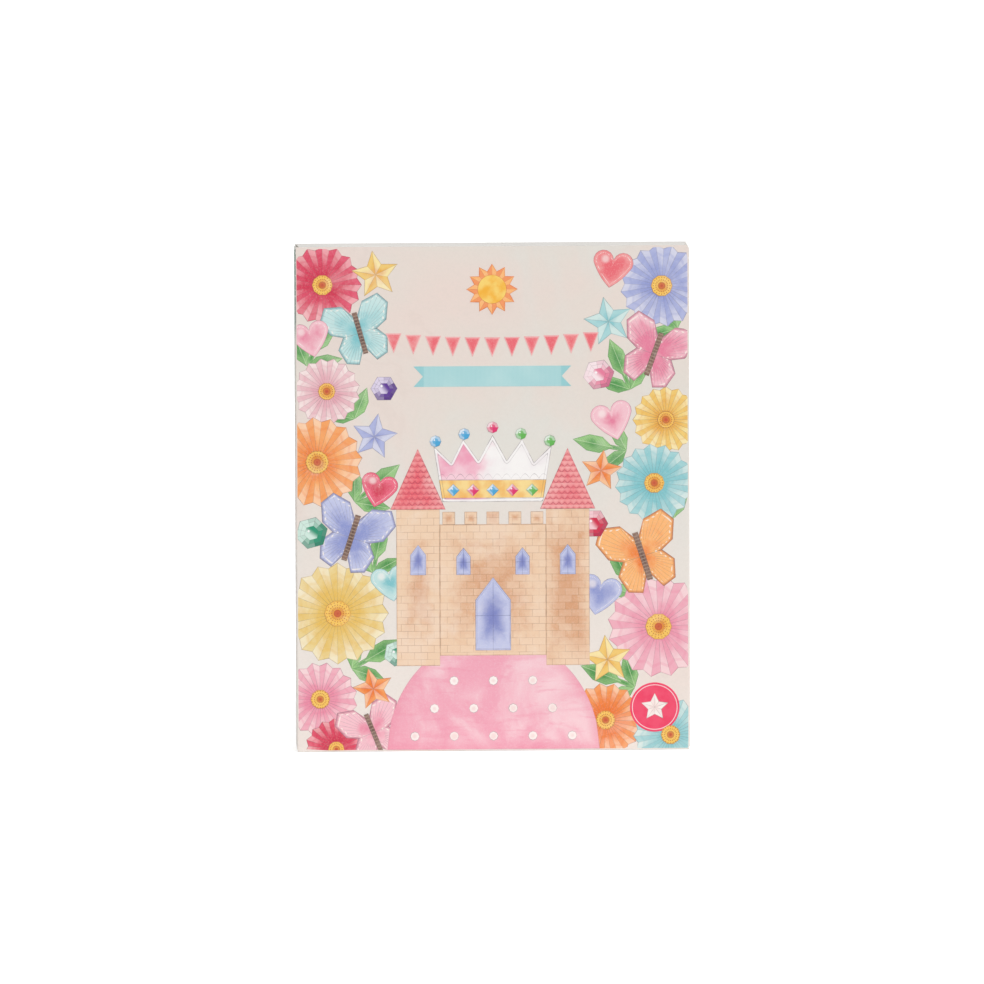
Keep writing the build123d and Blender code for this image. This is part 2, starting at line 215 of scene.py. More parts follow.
def rise(value, low, high, top=1.0):
    """Smooth step up from nothing."""
    return step(value, low, high, 0.0, top)


def fade(value, low, high, top=1.0):
    """Smooth step down to nothing. Of a distance, it is a line or a spot with a soft edge."""
    return step(value, low, high, top, 0.0)


def mix(share, first, second):
    """Colour at a share of the way from the first to the second."""
    tree = tree_of(share, first, second)
    return Value(add_node(tree, "Mix", {0: share, 6: first, 7: second}, data_type="RGBA").outputs[2])


def lay(ground, *layers):
    """Colour with layers over it, one after the other: each is a share and a colour."""
    for share, tint in layers:
        ground = mix(share, ground, tint)
    return ground


def noise(place, scale, detail=2.0, roughness=0.5, distortion=0.0):
    """Value of a noise texture around one half."""
    names = ("Vector", "Scale", "Detail", "Roughness", "Distortion")
    sockets = dict(zip(names, (place, scale, detail, roughness, distortion)))
    return Value(add_node(place.tree, "TexNoise", sockets).outputs["Fac"])


def clouds(place, scale, detail, low, high, first, second):
    """Soft clouds of a second colour in a first, where a noise rises from low to high."""
    return mix(rise(noise(place, scale, detail), low, high), first, second)


def stretch(vector, scale, move=(0, 0, 0)):
    """Vector moved and scaled by a Mapping node."""
    sockets = {"Vector": vector, "Scale": scale, "Location": move}
    return Value(add_node(vector.tree, "Mapping", sockets).outputs[0])


def parts(vector):
    """The x, y and z of a vector."""
    return [Value(socket) for socket in add_node(vector.tree, "SeparateXYZ", {0: vector}).outputs]


def millimetres(place):
    """The x, y and z of a place in metres, each in millimetres."""
    return [part / MM for part in parts(place)]


def combine(x, y):
    """Vector of two values and nothing."""
    return Value(add_node(x.tree, "CombineXYZ", {0: x, 1: y}).outputs[0])


def attribute(tree, name):
    """Vector stored on the mesh under a name."""
    return Value(add_node(tree, "Attribute", attribute_name=name).outputs["Vector"])


def relief(height, strength, depth):
    """Normal of a small relief, its depth in metres."""
    sockets = {"Height": height, "Strength": strength, "Distance": depth}
    return Value(add_node(height.tree, "Bump", sockets).outputs[0])


# %% Groups and materials


def node_group(name, inputs, *outputs):
    """Make a formula into a node group. Its name then stands for a function that places the group in a tree.

    Inputs come with what they hold at first: nothing for a vector, a number, or a code for a colour.
    """
    def build(formula):
        group = bpy.data.node_groups.new(name, "ShaderNodeTree")
        for key, first in inputs.items():
            kind = "Vector" if first is None else "Color" if isinstance(first, str) else "Float"
            socket = group.interface.new_socket(key, in_out="INPUT", socket_type="NodeSocket" + kind)
            if first is not None:
                feed(socket, first)
        for key in outputs:
            kind = "Color" if key == "Color" else "Float"
            group.interface.new_socket(key, in_out="OUTPUT", socket_type="NodeSocket" + kind)
        sources = group.nodes.new("NodeGroupInput").outputs[:len(inputs)]
        results = group.nodes.new("NodeGroupOutput").inputs
        for socket, value in zip(results, formula(*map(Value, sources))):
            feed(socket, value)
        print("group", name, "of", len(group.nodes), "nodes")

        def place_group(*values):
            """Outputs of the group placed in the tree that the values come from."""
            made = tree_of(*values).nodes.new("ShaderNodeGroup")
            made.node_tree = group
            for socket, value in zip(made.inputs, values):
                feed(socket, value)
            return [Value(socket) for socket in made.outputs]

        return place_group

    return build


def build_material(name, look, *details):
    """Material whose Principled shader holds what a look says. A look is a function of object coordinates."""
    material = bpy.data.materials.new(name)
    material.use_nodes = True
    tree = material.node_tree
    place = Value(add_node(tree, "TexCoord").outputs["Object"])
    for key, value in look(place, *details).items():
        feed(tree.nodes["Principled BSDF"].inputs[key], value)
    return material


# %% [markdown]
# ## Light, floor and background
#
# The studio is white all round. Light comes from everywhere at half strength, and a broad lamp at the front,
# high and to the right, adds the other half, so the left side stays in shade, as in the photograph. Only the
# camera and mirror-like rays see the background's full white, so it adds no light.

# %% World
ROOM_LIGHT = 0.43
LAMP_DIRECTION = np.array([0.34, -0.70, 0.63])
LAMP_STRENGTH = 1.75
LAMP_SOFTNESS = 25.0


def sees_white(tree):
    """One for camera, glossy and transmission rays, which see the white background."""
    rays = add_node(tree, "LightPath").outputs
    return most(*[Value(rays[f"Is {kind} Ray"]) for kind in ("Camera", "Glossy", "Transmission")])


world = bpy.data.worlds.new("studio")
world.use_nodes = True
bpy.context.scene.world = world
backdrop = world.node_tree.nodes["Background"].inputs
feed(backdrop["Color"], "FFFFFF")
feed(backdrop["Strength"], step(sees_white(world.node_tree), 0.0, 1.0, ROOM_LIGHT, 1.0))

# %% Lamp with a wide disc, turned so that its light comes from LAMP_DIRECTION
lamp = add_object("lamp", bpy.data.lights.new("lamp", "SUN"))
lamp.data.energy = LAMP_STRENGTH
lamp.data.angle = np.radians(LAMP_SOFTNESS)
x, y, z = LAMP_DIRECTION / np.linalg.norm(LAMP_DIRECTION)
lamp.rotation_euler = (np.arccos(z), 0, np.arctan2(y, x) + np.pi / 2)

# %% Floor
FLOOR_HALF = 12.0
FLOOR_DROP = 0.1 * MM
FLOOR_GLOW = 0.62


def floor_look(place):
    """Dull and nearly white. By a glow of its own it is white to the camera, apart from the box's shadow."""
    return {
        "Base Color": mix(noise(place, 3.0, 4.0), "EDEDEC", "F4F4F4"),
        "Roughness": 0.9,
        "Specular IOR Level": 0.1,
        "Emission Color": "FFFFFF",
        "Emission Strength": sees_white(place.tree) * FLOOR_GLOW,
    }


def make_floor():
    """Square floor just under the box, clear from below."""
    mesh = bpy.data.meshes.new("floor")
    corners = FLOOR_HALF * np.array([(-1, -1), (1, -1), (1, 1), (-1, 1)])
    mesh.from_pydata([(x, y, -FLOOR_DROP) for x, y in corners], [], [(0, 1, 2, 3)])
    floor = add_object("floor", mesh)
    material = build_material("studio floor", floor_look)
    tree = material.node_tree
    below = Value(add_node(tree, "NewGeometry").outputs["Backfacing"])
    white = Value(tree.nodes["Principled BSDF"].outputs[0])
    clear = Value(add_node(tree, "BsdfTransparent").outputs[0])
    surface = Value(add_node(tree, "MixShader", {0: below, 1: white, 2: clear}).outputs[0])
    feed(tree.nodes["Material Output"].inputs["Surface"], surface)
    floor.data.materials.append(material)


make_floor()
print("studio ready")

# %% [markdown]
# ## What card does in the light
#
# Printed card has a coated outside with a faint satin shine, softened by a fibre too fine to see. Its inside
# is bare, duller and a touch greyer. Where it is cut, the white core shows.

# %% Group: card fibre


@node_group("card fibre", {"Vector": None, "Fibre per metre": 900.0}, "Height", "Mottle")
def fibre(place, per_metre):
    """Short crossed fibres: two stretched noises, the stronger one wins, over a slow mottling."""
    along = noise(stretch(place, (1.0, 1.0, 0.25)), per_metre, 3.0, 0.6)
    across = noise(stretch(place, (0.25, 1.0, 1.0), (0.013, 0, 0.027)), per_metre, 3.0, 0.6)
    return most(along, across), noise(place, 60.0, 5.0, 0.62)


# %% [markdown]
# How deep a point lies under the rounded outline of the closed box tells the faces of the folded board
# apart. The depth is nothing outside, the board's thickness inside, and between them is the cut edge.

# %% Group: depth under the box's outline


@node_group("board depth", {"Vector": None}, "Depth", "Corner")
def board_depth(place):
    """Depth in metres under a rounded rectangle in x and y: radius less the length of max(|p| - core, 0)."""
    x, y, _z = parts(place)
    over_x = most(abs(x) - (HALF_WIDTH - FOLD), 0.0)
    over_y = most(abs(y - (FRONT_FACE + BACK_FACE) / 2) - ((BACK_FACE - FRONT_FACE) / 2 - FOLD), 0.0)
    return FOLD - hypot(over_x, over_y), rise(least(over_x, over_y), 0.0, 0.5 * FOLD)


# %% [markdown]
# ## The carton's card
#
# The box carries a pale wash, laid on with a wet brush, with slow clouds of pink and cream, and painted light
# that makes it paler and warmer towards the foot. On the side panels painted shade in a dusky green comes
# down from the top, deepest along the left front fold. The back has staggered spots round a plain panel.
# Folds have lost some coating in small broken spots.

# %% Group: the wash behind the picture


@node_group("pale wash", {"Vector": None}, "Color")
def pale_wash(place):
    """Cream, pink and cool grey clouds, painted light that pales them towards the foot, and a thin darker
    tide line where a cloud ends.
    """
    _x, _y, z = parts(place)
    cloud = noise(place, 9.0, 5.0, 0.55, 0.6)
    veil = noise(stretch(place, (1.0, 1.0, 0.6), (0.31, 0, 0.17)), 14.0, 4.0, 0.6, 0.4)
    blush = noise(stretch(place, (1.0, 1.0, 1.0), (0.5, 0, 0.9)), 6.0, 3.0, 0.5, 0.8)
    return [lay(
        mix(rise(cloud, 0.40, 0.62), "E6DFD6", "EADCD4"),
        (rise(veil, 0.48, 0.66, 0.75), "E3E2DB"),
        # Painted light: paler towards the foot.
        (fade(z, 0.0, 0.75 * HEIGHT, 0.8), "F2EAE3"),
        (rise(blush, 0.55, 0.72, 0.55), "F0D9D0"),
        (fade(abs(cloud - 0.585), 0.0, 0.02, 0.13), "D9C8BF"),
        (rise(noise(place, 700.0, 3.0, 0.7), 0.35, 0.75, 0.16), "D8CFC6"),
    )]


# %% Group: what is printed round the wash, and the painted shade on the sides
SPOT_PITCH = 16.0
SPOT_REACH = 2.6
PANEL_ROOM = (62.0, 78.0)
EDGE_ROOM = 5.0


def side_print(place, wash):
    """Wash with painted shade on the side panels' tops, a dusky green that wanders down a little further here
    and there and is deepest on the left front fold.
    """
    x, y, z = parts(place)
    high = z + noise(place, 35.0, 4.0, 0.6, 0.8) * 0.08
    side = rise(abs(x), HALF_WIDTH - 0.25 * FOLD, HALF_WIDTH - 0.05 * FOLD)
    left_fold = rise(x * -1.0, HALF_WIDTH - 0.85 * FOLD, HALF_WIDTH - 0.55 * FOLD)
    painted_fold_shade = left_fold * fade(y, FRONT_FACE, FRONT_FACE + 5 * FOLD)
    # Painted shade: dusky green darkens the side panels' tops, and more so along the left front fold near the
    # top.
    return lay(
        wash,
        (side * rise(high, 0.66 * HEIGHT, 1.14 * HEIGHT), "9FB8AE"),
        (painted_fold_shade * rise(high, 0.94 * HEIGHT, 1.04 * HEIGHT, 0.85), "74877F"),
    )


def back_print(place, wash):
    """Spots in staggered rows, and the plain panel with its frame line, in millimetres.

    Spots: x and z are folded to one cell of a lattice whose odd rows are moved by half a pitch, and the
    distance from its middle meets a wavering reach. Panel: distance of |x|, |z| beyond its half sizes.
    """
    x, _y, z = millimetres(place)
    row = maths("FLOOR", z / SPOT_PITCH)
    across = (x + (row % 2.0) * (SPOT_PITCH / 2) + 20 * SPOT_PITCH) % SPOT_PITCH - SPOT_PITCH / 2
    upward = z % SPOT_PITCH - SPOT_PITCH / 2
    up = z - HEIGHT / 2 / MM
    from_axis = abs(x - across)
    clear = most(from_axis - PANEL_ROOM[0], abs(up - upward) - PANEL_ROOM[1])
    edge = HALF_WIDTH / MM - EDGE_ROOM
    whole = rise(clear, SPOT_REACH + 1.0, SPOT_REACH + 1.1) * fade(from_axis, edge, edge + 0.1)
    radius = hypot(across, upward) + step(noise(place, 260.0, 2.0), 0.3, 0.7, -0.35, 0.35)
    spot = fade(radius, SPOT_REACH - 0.15, SPOT_REACH + 0.1)
    rim = fade(abs(radius - (SPOT_REACH - 0.3)), 0.0, 0.35, 0.25)
    turn = (row + 40.0) % 3.0
    tint = lay("F2A5B0", (rise(turn, 0.4, 0.6), "9ED2D6"), (rise(turn, 1.4, 1.6), "F6CF8B"))
    beyond = most(abs(x) - PANEL_ROOM[0], abs(up) - PANEL_ROOM[1])
    return lay(
        wash,
        (spot * whole * (rim + 0.7), tint),
        (fade(beyond, -0.2, 0.2), "F3EFE9"),
        (fade(abs(beyond + 3.0), 0.35, 0.6, 0.85), "E8848F"),
    )


@node_group("surround", {"Vector": None}, "Color")
def surround(place):
    """Wash of the sides with their painted shade, and on the back panel the print of the back."""
    _x, y, _z = parts(place)
    wash, = pale_wash(place)
    back = rise(y, BACK_FACE - 0.6 * BOARD, BACK_FACE - 0.15 * BOARD)
    return [mix(back, side_print(place, wash), back_print(place, wash))]


# %% The carton's material


def card_look(place, outside, ground, corner, core=0.0):
    """Coated outside, bare inside and white core at the cut edges, with whitened folds."""
    height, mottle = fibre(place)
    scuffs = rise(noise(place, 420.0, 4.0, 0.65), 0.52, 0.62)
    bare = mix(rise(mottle, 0.35, 0.7), "CFC8BA", "DAD4C8")
    return {
        "Base Color": lay(bare, (outside, ground), (corner * scuffs * 0.55, "F4F1EC"), (core, "F2F0EB")),
        "Roughness": step(outside, 0.0, 1.0, 0.85, 0.48),
        "Specular IOR Level": 0.35,
        "Coat Weight": 0.12,
        "Coat Roughness": 0.35,
        "Normal": relief(height, 0.35, 0.05 * MM),
    }


def carton_look(place):
    """Printed, coated and bare faces of the folded carton, told apart by their depth under its outline."""
    _x, y, z = parts(place)
    depth, corner = board_depth(place)
    # Surround: the print of the back and the painted shade on the side panels.
    printed, = surround(place)
    ends = most(rise(z, SIDE_HIGH - 0.15 * BOARD, SIDE_HIGH), fade(z, 0.0, 0.1 * BOARD))
    outside = most(fade(depth, 0.35 * BOARD, 0.65 * BOARD), ends)
    front = fade(y, FRONT_FACE + BOARD, FRONT_FACE + 1.2 * BOARD)
    under_cut = fade(z, HEIGHT - 0.05 * BOARD, HEIGHT - 0.02 * BOARD)
    upright = most(fade(z, SIDE_HIGH - 0.3 * BOARD, SIDE_HIGH - 0.1 * BOARD), front * under_cut)
    ground = mix(upright, clouds(place, 20.0, 3.0, 0.3, 0.7, "E9E7E2", "EFEDE8"), printed)
    core = rise(depth, 0.1 * BOARD, 0.2 * BOARD) * fade(depth, 0.8 * BOARD, 0.9 * BOARD)
    return card_look(place, outside, ground, most(corner, fade(z, 0.0, 1.5 * FOLD)), core * (1.0 - ends))


def dress(node, name, look, *details):
    """Give a solid that stays as it is a finish of its own."""
    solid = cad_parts[node]
    solid.data.materials.clear()
    solid.data.materials.append(build_material(name, look, *details))
    print("dressed", node, "with", name)


dress("carton", "carton card", carton_look)

# %% [markdown]
# ## The closing flap
#
# The flap is the same board. Its panel lies on top, and its tuck bends down on an arc round the crease, so
# depth is measured from that arc's outside, and on the panel from its upper face.

# %% The closing flap's material


def top_flap_look(place):
    """Coated white above and outside the tuck's arc, bare below and inside it."""
    _x, y, z = parts(place)
    flap_low, flap_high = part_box("top_flap")
    reach = flap_high.y - flap_low.y
    down = z - flap_high.z
    arc = hypot(y - flap_high.y, down)
    tuck = rise(arc, reach - 0.6 * BOARD, reach - 0.3 * BOARD)
    outside = most(tuck, rise(down, -0.3 * BOARD, -0.05 * BOARD))
    crease = fade(arc, 0.0, 2.0 * FOLD)
    nose = fade(most(abs(arc - reach), abs(down)), 0.0, FOLD)
    ground = clouds(place, 22.0, 4.0, 0.35, 0.65, "E6E2DC", "EDE9E3")
    return card_look(place, outside, ground, most(crease, nose))


dress("top_flap", "closing flap card", top_flap_look)

# %% [markdown]
# ## Flat motifs as polar grids
#
# Each motif is a cut-out of paint: a closed outline, given as its distance from the middle in each
# direction. Rings of points at shares of that distance fill it, and the same outline a hair deeper closes it
# behind. Every point keeps two vectors for its material: its place on the motif with the motif's size, and
# its share of the way to the rim, its distance from the rim and a tone. So a wash can follow the shape, and
# an ink line keeps its width.

# %% Outline from corners


def corner_angles(corners):
    """Direction of each corner from the middle."""
    return np.arctan2(corners[:, 1], corners[:, 0]) % (2 * np.pi)


def outline_reach(corners, directions):
    """Distance from the middle to a polygon's edge in each direction.

    Between two corners at angles a and b with distances p and q, the edge is p q sin(b - a) divided by
    p sin(t - a) + q sin(b - t), where t is the direction.
    """
    angles = corner_angles(corners)
    order = np.argsort(angles)
    angles = angles[order]
    reach = np.hypot(*corners[order].T)
    angles = np.concatenate([[angles[-1] - 2 * np.pi], angles, [angles[0] + 2 * np.pi]])
    reach = np.concatenate([[reach[-1]], reach, [reach[0]]])
    right = np.clip(np.searchsorted(angles, directions, side="right"), 1, len(angles) - 1)
    a, b, p, q = angles[right - 1], angles[right], reach[right - 1], reach[right]
    return p * q * np.sin(b - a) / (p * np.sin(directions - a) + q * np.sin(b - directions))


def corner_directions(corners, extra=72):
    """Directions that hit every corner, with evenly spaced ones between them."""
    even = np.arange(extra) * 2 * np.pi / extra
    return np.unique(np.round(np.concatenate([corner_angles(corners), even]), 6))


def polar_points(reach, degrees):
    """Points at distances and angles in degrees from the middle."""
    turned = np.radians(degrees)
    return np.stack([reach * np.cos(turned), reach * np.sin(turned)], 1)


# %% Outlines of the motifs, for a reach of one


def zigzag(points, depth):
    """Closed zigzag: tips at a reach of one and valleys at the share depth, by turns."""
    steps = np.arange(2 * points)
    return polar_points(np.where(steps % 2 == 0, 1.0, depth), 90 + steps * 180 / points)


def arc_through(start, middle, end, count=9):
    """Points of the circle through three points: its centre is where two perpendicular bisectors meet."""
    points = np.array([start, middle, end], float)
    sides = 2 * (points[1:] - points[0])
    squares = (points ** 2).sum(1)
    centre = np.linalg.solve(sides, squares[1:] - squares[0])
    spokes = points - centre
    angles = np.unwrap(np.arctan2(spokes[:, 1], spokes[:, 0]))
    turned = np.linspace(angles[0], angles[2], count)
    return centre + np.hypot(*spokes[0]) * np.stack([np.cos(turned), np.sin(turned)], 1)


def heart():
    """Two arcs a side, from the notch over the shoulder and down to the foot, mirrored."""
    shoulder = arc_through((0, 0.45), (0.62, 0.85), (1, 0.2))
    side = arc_through((1, 0.2), (0.62, -0.4), (0, -1))
    right = np.concatenate([shoulder[:-1], side])
    return np.concatenate([right, (right * (-1, 1))[-2:0:-1]])


def regular(sides):
    """Regular outline with its first corner on the right."""
    return polar_points(np.ones(sides), np.arange(sides) * 360 / sides)


def box_outline(width, height):
    """Upright rectangle."""
    return np.array([(-1, -1), (1, -1), (1, 1), (-1, 1)]) * (width / 2, height / 2)


WINGS = np.array([
    (0.06, 0.5), (0.3, 0.86), (0.78, 0.96), (1.0, 0.62), (0.82, 0.16), (0.5, 0.0), (0.72, -0.3),
    (0.6, -0.74), (0.26, -0.86), (0.06, -0.5),
])
OUTLINES = {
    "rosette": zigzag(16, 0.9),
    "star": zigzag(5, 0.5),
    "heart": heart(),
    "butterfly": np.concatenate([WINGS, WINGS[::-1] * (-1, 1)]),
    "stone": regular(6),
    "leaf": np.array([(-0.5, 0), (-0.2, -0.2), (0.12, -0.2), (0.5, 0), (0.12, 0.2), (-0.2, 0.2)]),
    "stalk": box_outline(0.4, 0.08),
}
print("outlines:", ", ".join(OUTLINES))

# %% [markdown]
# ## Shells
#
# A shell starts at a pole in front, runs over the rings to the rim, drops to the back and ends at a pole
# behind. Faces wind so that they all point outwards. The front falls away a little towards the rim.

# %% Shell between two poles
RINGS = np.array([0.16, 0.34, 0.52, 0.68, 0.82, 0.92, 0.97, 1.0])
RIM_FALL = 0.02


def rows_of(*columns):
    """Rows of three numbers from three arrays that stretch to one grid."""
    return np.stack(np.broadcast_arrays(*columns), -1).reshape(-1, 3)


def fan_faces(directions, rings):
    """Quads between the rings and triangles at both poles, as arrays of point numbers."""
    here = np.arange(directions)
    after = (here + 1) % directions
    front = 1 + np.arange(rings)[:, None] * directions
    last = 1 + (rings - 1) * directions
    pole = last + directions
    grid = np.stack([front[:-1] + here, front[1:] + here, front[1:] + after, front[:-1] + after], -1)
    return grid.reshape(-1, 4), rows_of(0, 1 + here, 1 + after), rows_of(pole, last + after, last + here)


def panel_room(middle, directions):
    """Distance from a middle to the edge of the printed panel in each direction."""
    x, z = middle
    across, up = np.cos(directions), np.sin(directions)
    with np.errstate(divide="ignore"):
        side = np.where(across > 0, (PANEL_HALF - x) / across, (-PANEL_HALF - x) / across)
        end = np.where(up > 0, (PANEL_HIGH - z) / up, (PANEL_LOW - z) / up)
    return np.minimum(np.where(side > 0, side, np.inf), np.where(end > 0, end, np.inf))


def motif(corners, size, middle, turn, front, back, finish, tone=0.0):
    """Shell of one motif: ring points are the middle plus share times reach along each direction.

    The reach is the outline's, cut short where the panel ends. Distance from the rim is the rest of the
    reach times the cosine of the outline's slope there.
    """
    own = corner_directions(corners)
    full = outline_reach(corners, own) * size
    lean = 1 / np.sqrt(1 + np.clip(np.gradient(np.log(full), own), -3, 3) ** 2)
    turned = own + np.radians(turn)
    shares = np.concatenate([RINGS, [1.0, 0.5]])
    depth = np.concatenate([front + RIM_FALL * (back - front) * RINGS ** 4, [back, back]])
    radius = shares[:, None] * np.minimum(full, panel_room(middle, turned))
    x, z = middle
    points = rows_of(x + radius * np.cos(turned), depth[:, None], z + radius * np.sin(turned))
    local = rows_of(radius * np.cos(own), radius * np.sin(own), size) / MM
    wash = rows_of(radius / full, (full - radius) * lean / MM, tone)
    local_pole = [(0, 0, size / MM)]
    wash_pole = [(0, (full * lean).min() / MM, tone)]
    return dict(
        points=np.concatenate([[(x, front, z)], points, [(x, back, z)]]),
        own=np.concatenate([local_pole, local, local_pole]),
        wash=np.concatenate([wash_pole, wash, wash_pole]),
        faces=fan_faces(len(own), len(shares)),
        finish=finish,
    )


# %% Shell between a lower and an upper edge


def distance_to_line(points, line):
    """Distance of each point to a closed line: to each segment's nearest point, and the least of them."""
    run = np.roll(line, -1, axis=0) - line
    square = np.maximum((run ** 2).sum(1), 1e-18)
    share = np.clip(((points[:, None] - line) * run).sum(2) / square, 0, 1)
    return np.hypot(*(points[:, None] - line - share[..., None] * run).transpose(2, 0, 1)).min(1)


def strip(lower, upper, front, back, finish, rows=24):
    """Shell between two edges: rows are shares of the way from the lower to the upper one.

    A copy of the grid lies behind, and a band of quads joins the two round the border.
    """
    shares = np.linspace(0, 1, rows)[:, None, None]
    grid = (1 - shares) * lower + shares * upper
    columns = grid.shape[1]
    flat = grid.reshape(-1, 2)
    count = len(flat)
    index = np.arange(count).reshape(rows, columns)
    face = np.stack([index[:-1, :-1], index[:-1, 1:], index[1:, 1:], index[1:, :-1]], -1).reshape(-1, 4)
    border = np.concatenate([index[0, :], index[1:, -1], index[-1, -2::-1], index[-2:0:-1, 0]])
    after = np.roll(border, -1)
    low, high = flat.min(0), flat.max(0)
    own = np.column_stack([flat - (low + high) / 2, np.full(count, (high - low).max() / 2)]) / MM
    rim = distance_to_line(flat, flat[border]) / MM
    wash = np.column_stack([np.repeat(shares.ravel(), columns), rim, np.zeros(count)])
    return dict(
        points=np.concatenate([np.insert(flat, 1, front, axis=1), np.insert(flat, 1, back, axis=1)]),
        own=np.tile(own, (2, 1)),
        wash=np.tile(wash, (2, 1)),
        faces=(face, face[:, ::-1] + count, np.stack([border, border + count, after + count, after], -1)),
        finish=finish,
    )


# %% One piece from several shells
SHELLS = {}


def keep(shell):
    """Put a shell with the others of its paint, which are one node of the print."""
    SHELLS.setdefault("print_" + shell["finish"].split(" in ")[1], []).append(shell)


def build_piece(name, shells):
    """Joins shells into one mesh, shifting each one's point numbers past those before it."""
    finishes = list(dict.fromkeys(shell["finish"] for shell in shells))
    faces, slots, start = [], [], 0
    for shell in shells:
        for block in shell["faces"]:
            faces += (block + start).tolist()
            slots += [finishes.index(shell["finish"])] * len(block)
        start += len(shell["points"])
    mesh = bpy.data.meshes.new(name)
    mesh.from_pydata(np.concatenate([shell["points"] for shell in shells]).tolist(), [], faces)
    for key in ("own", "wash"):
        values = np.concatenate([shell[key] for shell in shells]).astype(np.float32)
        mesh.attributes.new(key, "FLOAT_VECTOR", "POINT").data.foreach_set("vector", values.ravel())
    for finish in finishes:
        mesh.materials.append(finish_for(finish))
    mesh.polygons.foreach_set("material_index", slots)
    mesh.update()
    print(name, len(shells), "shells,", len(mesh.polygons), "faces")
    return add_object(name, mesh)


# %% [markdown]
# ## Watercolour and ink
#
# Watercolour is thin: the paper shows through, the pigment settles in grains, pools unevenly, and dries to a
# slightly darker line at the rim. Over it goes a fine pencil-grey line, drawn by hand.

# %% Groups: watercolour and ink line
PENCIL_GREY = "6E6468"


@node_group(
    "watercolour",
    {
        "Middle": "FFFFFF", "Rim": "FFFFFF", "Share": 0.5, "Distance": 1.0, "Tone": 0.0, "Vector": None,
        "Reach of middle": 0.55,
    },
    "Color",
)
def watercolour(middle, rim, share, distance, tone, place, reach):
    """Blend from the paint at the middle to the paint at the rim, with pooled rim and grains.

    The share of the way to the rim is moved by a slow noise and by the motif's tone. The rim line's strength
    falls off with the distance from the rim in millimetres.
    """
    moved = share + (noise(place, 130.0, 5.0, 0.6, 0.5) - 0.5) * 1.1 + tone * 0.2
    return [lay(
        mix(rise(moved / (reach * 2.0), 0.08, 0.95), middle, rim),
        (rise(noise(place, 42.0, 4.0, 0.55, 0.3), 0.52, 0.7, 0.35), mix(0.55, rim, "FFFAF5")),
        (fade(distance, 0.0, 0.9, 0.38), middle),
        (rise(noise(place, 1500.0, 3.0, 0.7), 0.45, 0.75, 0.16), "FFFBF6"),
    )]


@node_group(
    "ink line",
    {"Color": "FFFFFF", "Distance": 1.0, "Width": 0.3, "Strength": 0.6, "Vector": None, "Ink": PENCIL_GREY},
    "Color",
)
def ink_line(under, distance, width, strength, place, ink):
    """Line where a distance in millimetres is under half the width, wavering and breaking with noise."""
    half = width * step(noise(place, 260.0, 3.0, 0.6), 0.3, 0.7, 0.35, 0.75)
    line = fade(distance, half * 0.55, half * 1.25)
    broken = step(noise(place, 90.0, 3.0), 0.32, 0.62, 0.45, 1.0)
    return [mix(line * broken * strength, under, ink)]


# %% Group: pleats round a middle


@node_group("pleats", {"Own": None, "Pleats": 16.0}, "Side", "Distance", "From middle", "Light")
def pleats(own, count):
    """Side of the fold, 0 or 1, distance from the nearest fold and from the middle, and light.

    Direction in pleats is the angle over a full turn times the number of folds. Its distance to the nearest
    half, turned back into an angle, times the distance from the middle, is the arc to the nearest fold.
    Light on a facet is the cosine between the facet's own direction and the upper left.
    """
    x, y, _size = parts(own)
    turns = maths("ARCTAN2", x, y) / (2 * np.pi) * count
    rest = maths("FRACT", turns + 64.0)
    from_middle = hypot(x, y)
    arc = least(rest, 1.0 - rest, abs(rest - 0.5)) / count * (2 * np.pi)
    facing = (maths("FLOOR", turns) + 0.5) / count * (2 * np.pi)
    light = rise(maths("COSINE", facing + 0.75), -1.0, 1.0)
    return rise(rest, 0.46, 0.54), arc * from_middle, from_middle, light


# %% [markdown]
# ## Paints and finishes
#
# Every paint is a pair: what it is at the middle of a motif and what it has thinned to at the rim. A finish
# is a kind of motif in one of the paints. Its pattern is laid on as a painter would: first the wash, then
# colours over it, and the ink last.

# %% Paints
PAINTS = {
    "coral": ("EC6A74", "F5A3A2"), "aqua": ("7FC4CB", "C3E4E3"), "orange": ("EE7B33", "FDBA77"),
    "white": ("EFE9E6", "FBF8F4"), "periwinkle": ("8F99D0", "C6CBEA"), "peach": ("D9A077", "F0CFAF"),
    "rose": ("E8809E", "F7C6D0"), "crimson": ("D2304F", "F0718A"), "blush": ("E3A3B0", "F8E4E3"),
    "cream": ("E8BF5E", "F6EEC0"), "yellow": ("E9A63C", "FAE38D"), "leaf": ("559A52", "9CCB86"),
    "sea": ("2F9473", "86D2B4"), "violet": ("5F3B93", "B18FD0"), "spot": ("EF4A6B", "F4607D"),
    "bodies": ("5E473F", "8A6C5E"), "middles": ("DF8A2D", "F7C95F"), "stones": ("D9406C", "F4A0B5"),
    "dots": ("F7E3DF", "FFF8F4"),
}
PATTERNS = {}
FINISHES = {}


class Artwork:
    """Colour of one finish while it is laid on, and what the points of its motifs carry.

    These are the place on the motif and the motif's size in millimetres, the share of the way to the rim,
    the distance from the rim in millimetres, and the tone.
    """

    def __init__(self, place, paint):
        self.place = place
        self.deep, self.pale = PAINTS[paint]
        self.own = attribute(place.tree, "own")
        self.x, self.y, self.size = parts(self.own)
        self.share, self.rim, self.tone = parts(attribute(place.tree, "wash"))

    def wash(self, reach):
        """Begin with watercolour. The middle's paint reaches further with a greater reach."""
        paints = self.deep, self.pale
        self.colour, = watercolour(*paints, self.share, self.rim, self.tone, self.place, reach)

    def lay(self, share, tint):
        """Lay a share of another colour over it."""
        self.colour = mix(share, self.colour, tint)

    def ink(self, distance, width, strength, ink=PENCIL_GREY):
        """Draw an ink line where a distance is small."""
        self.colour, = ink_line(self.colour, distance, width, strength, self.place, ink)


def pattern(paint):
    """Keep a pattern under the first word of its function's name."""
    PATTERNS[paint.__name__.split("_")[0]] = paint
    return paint


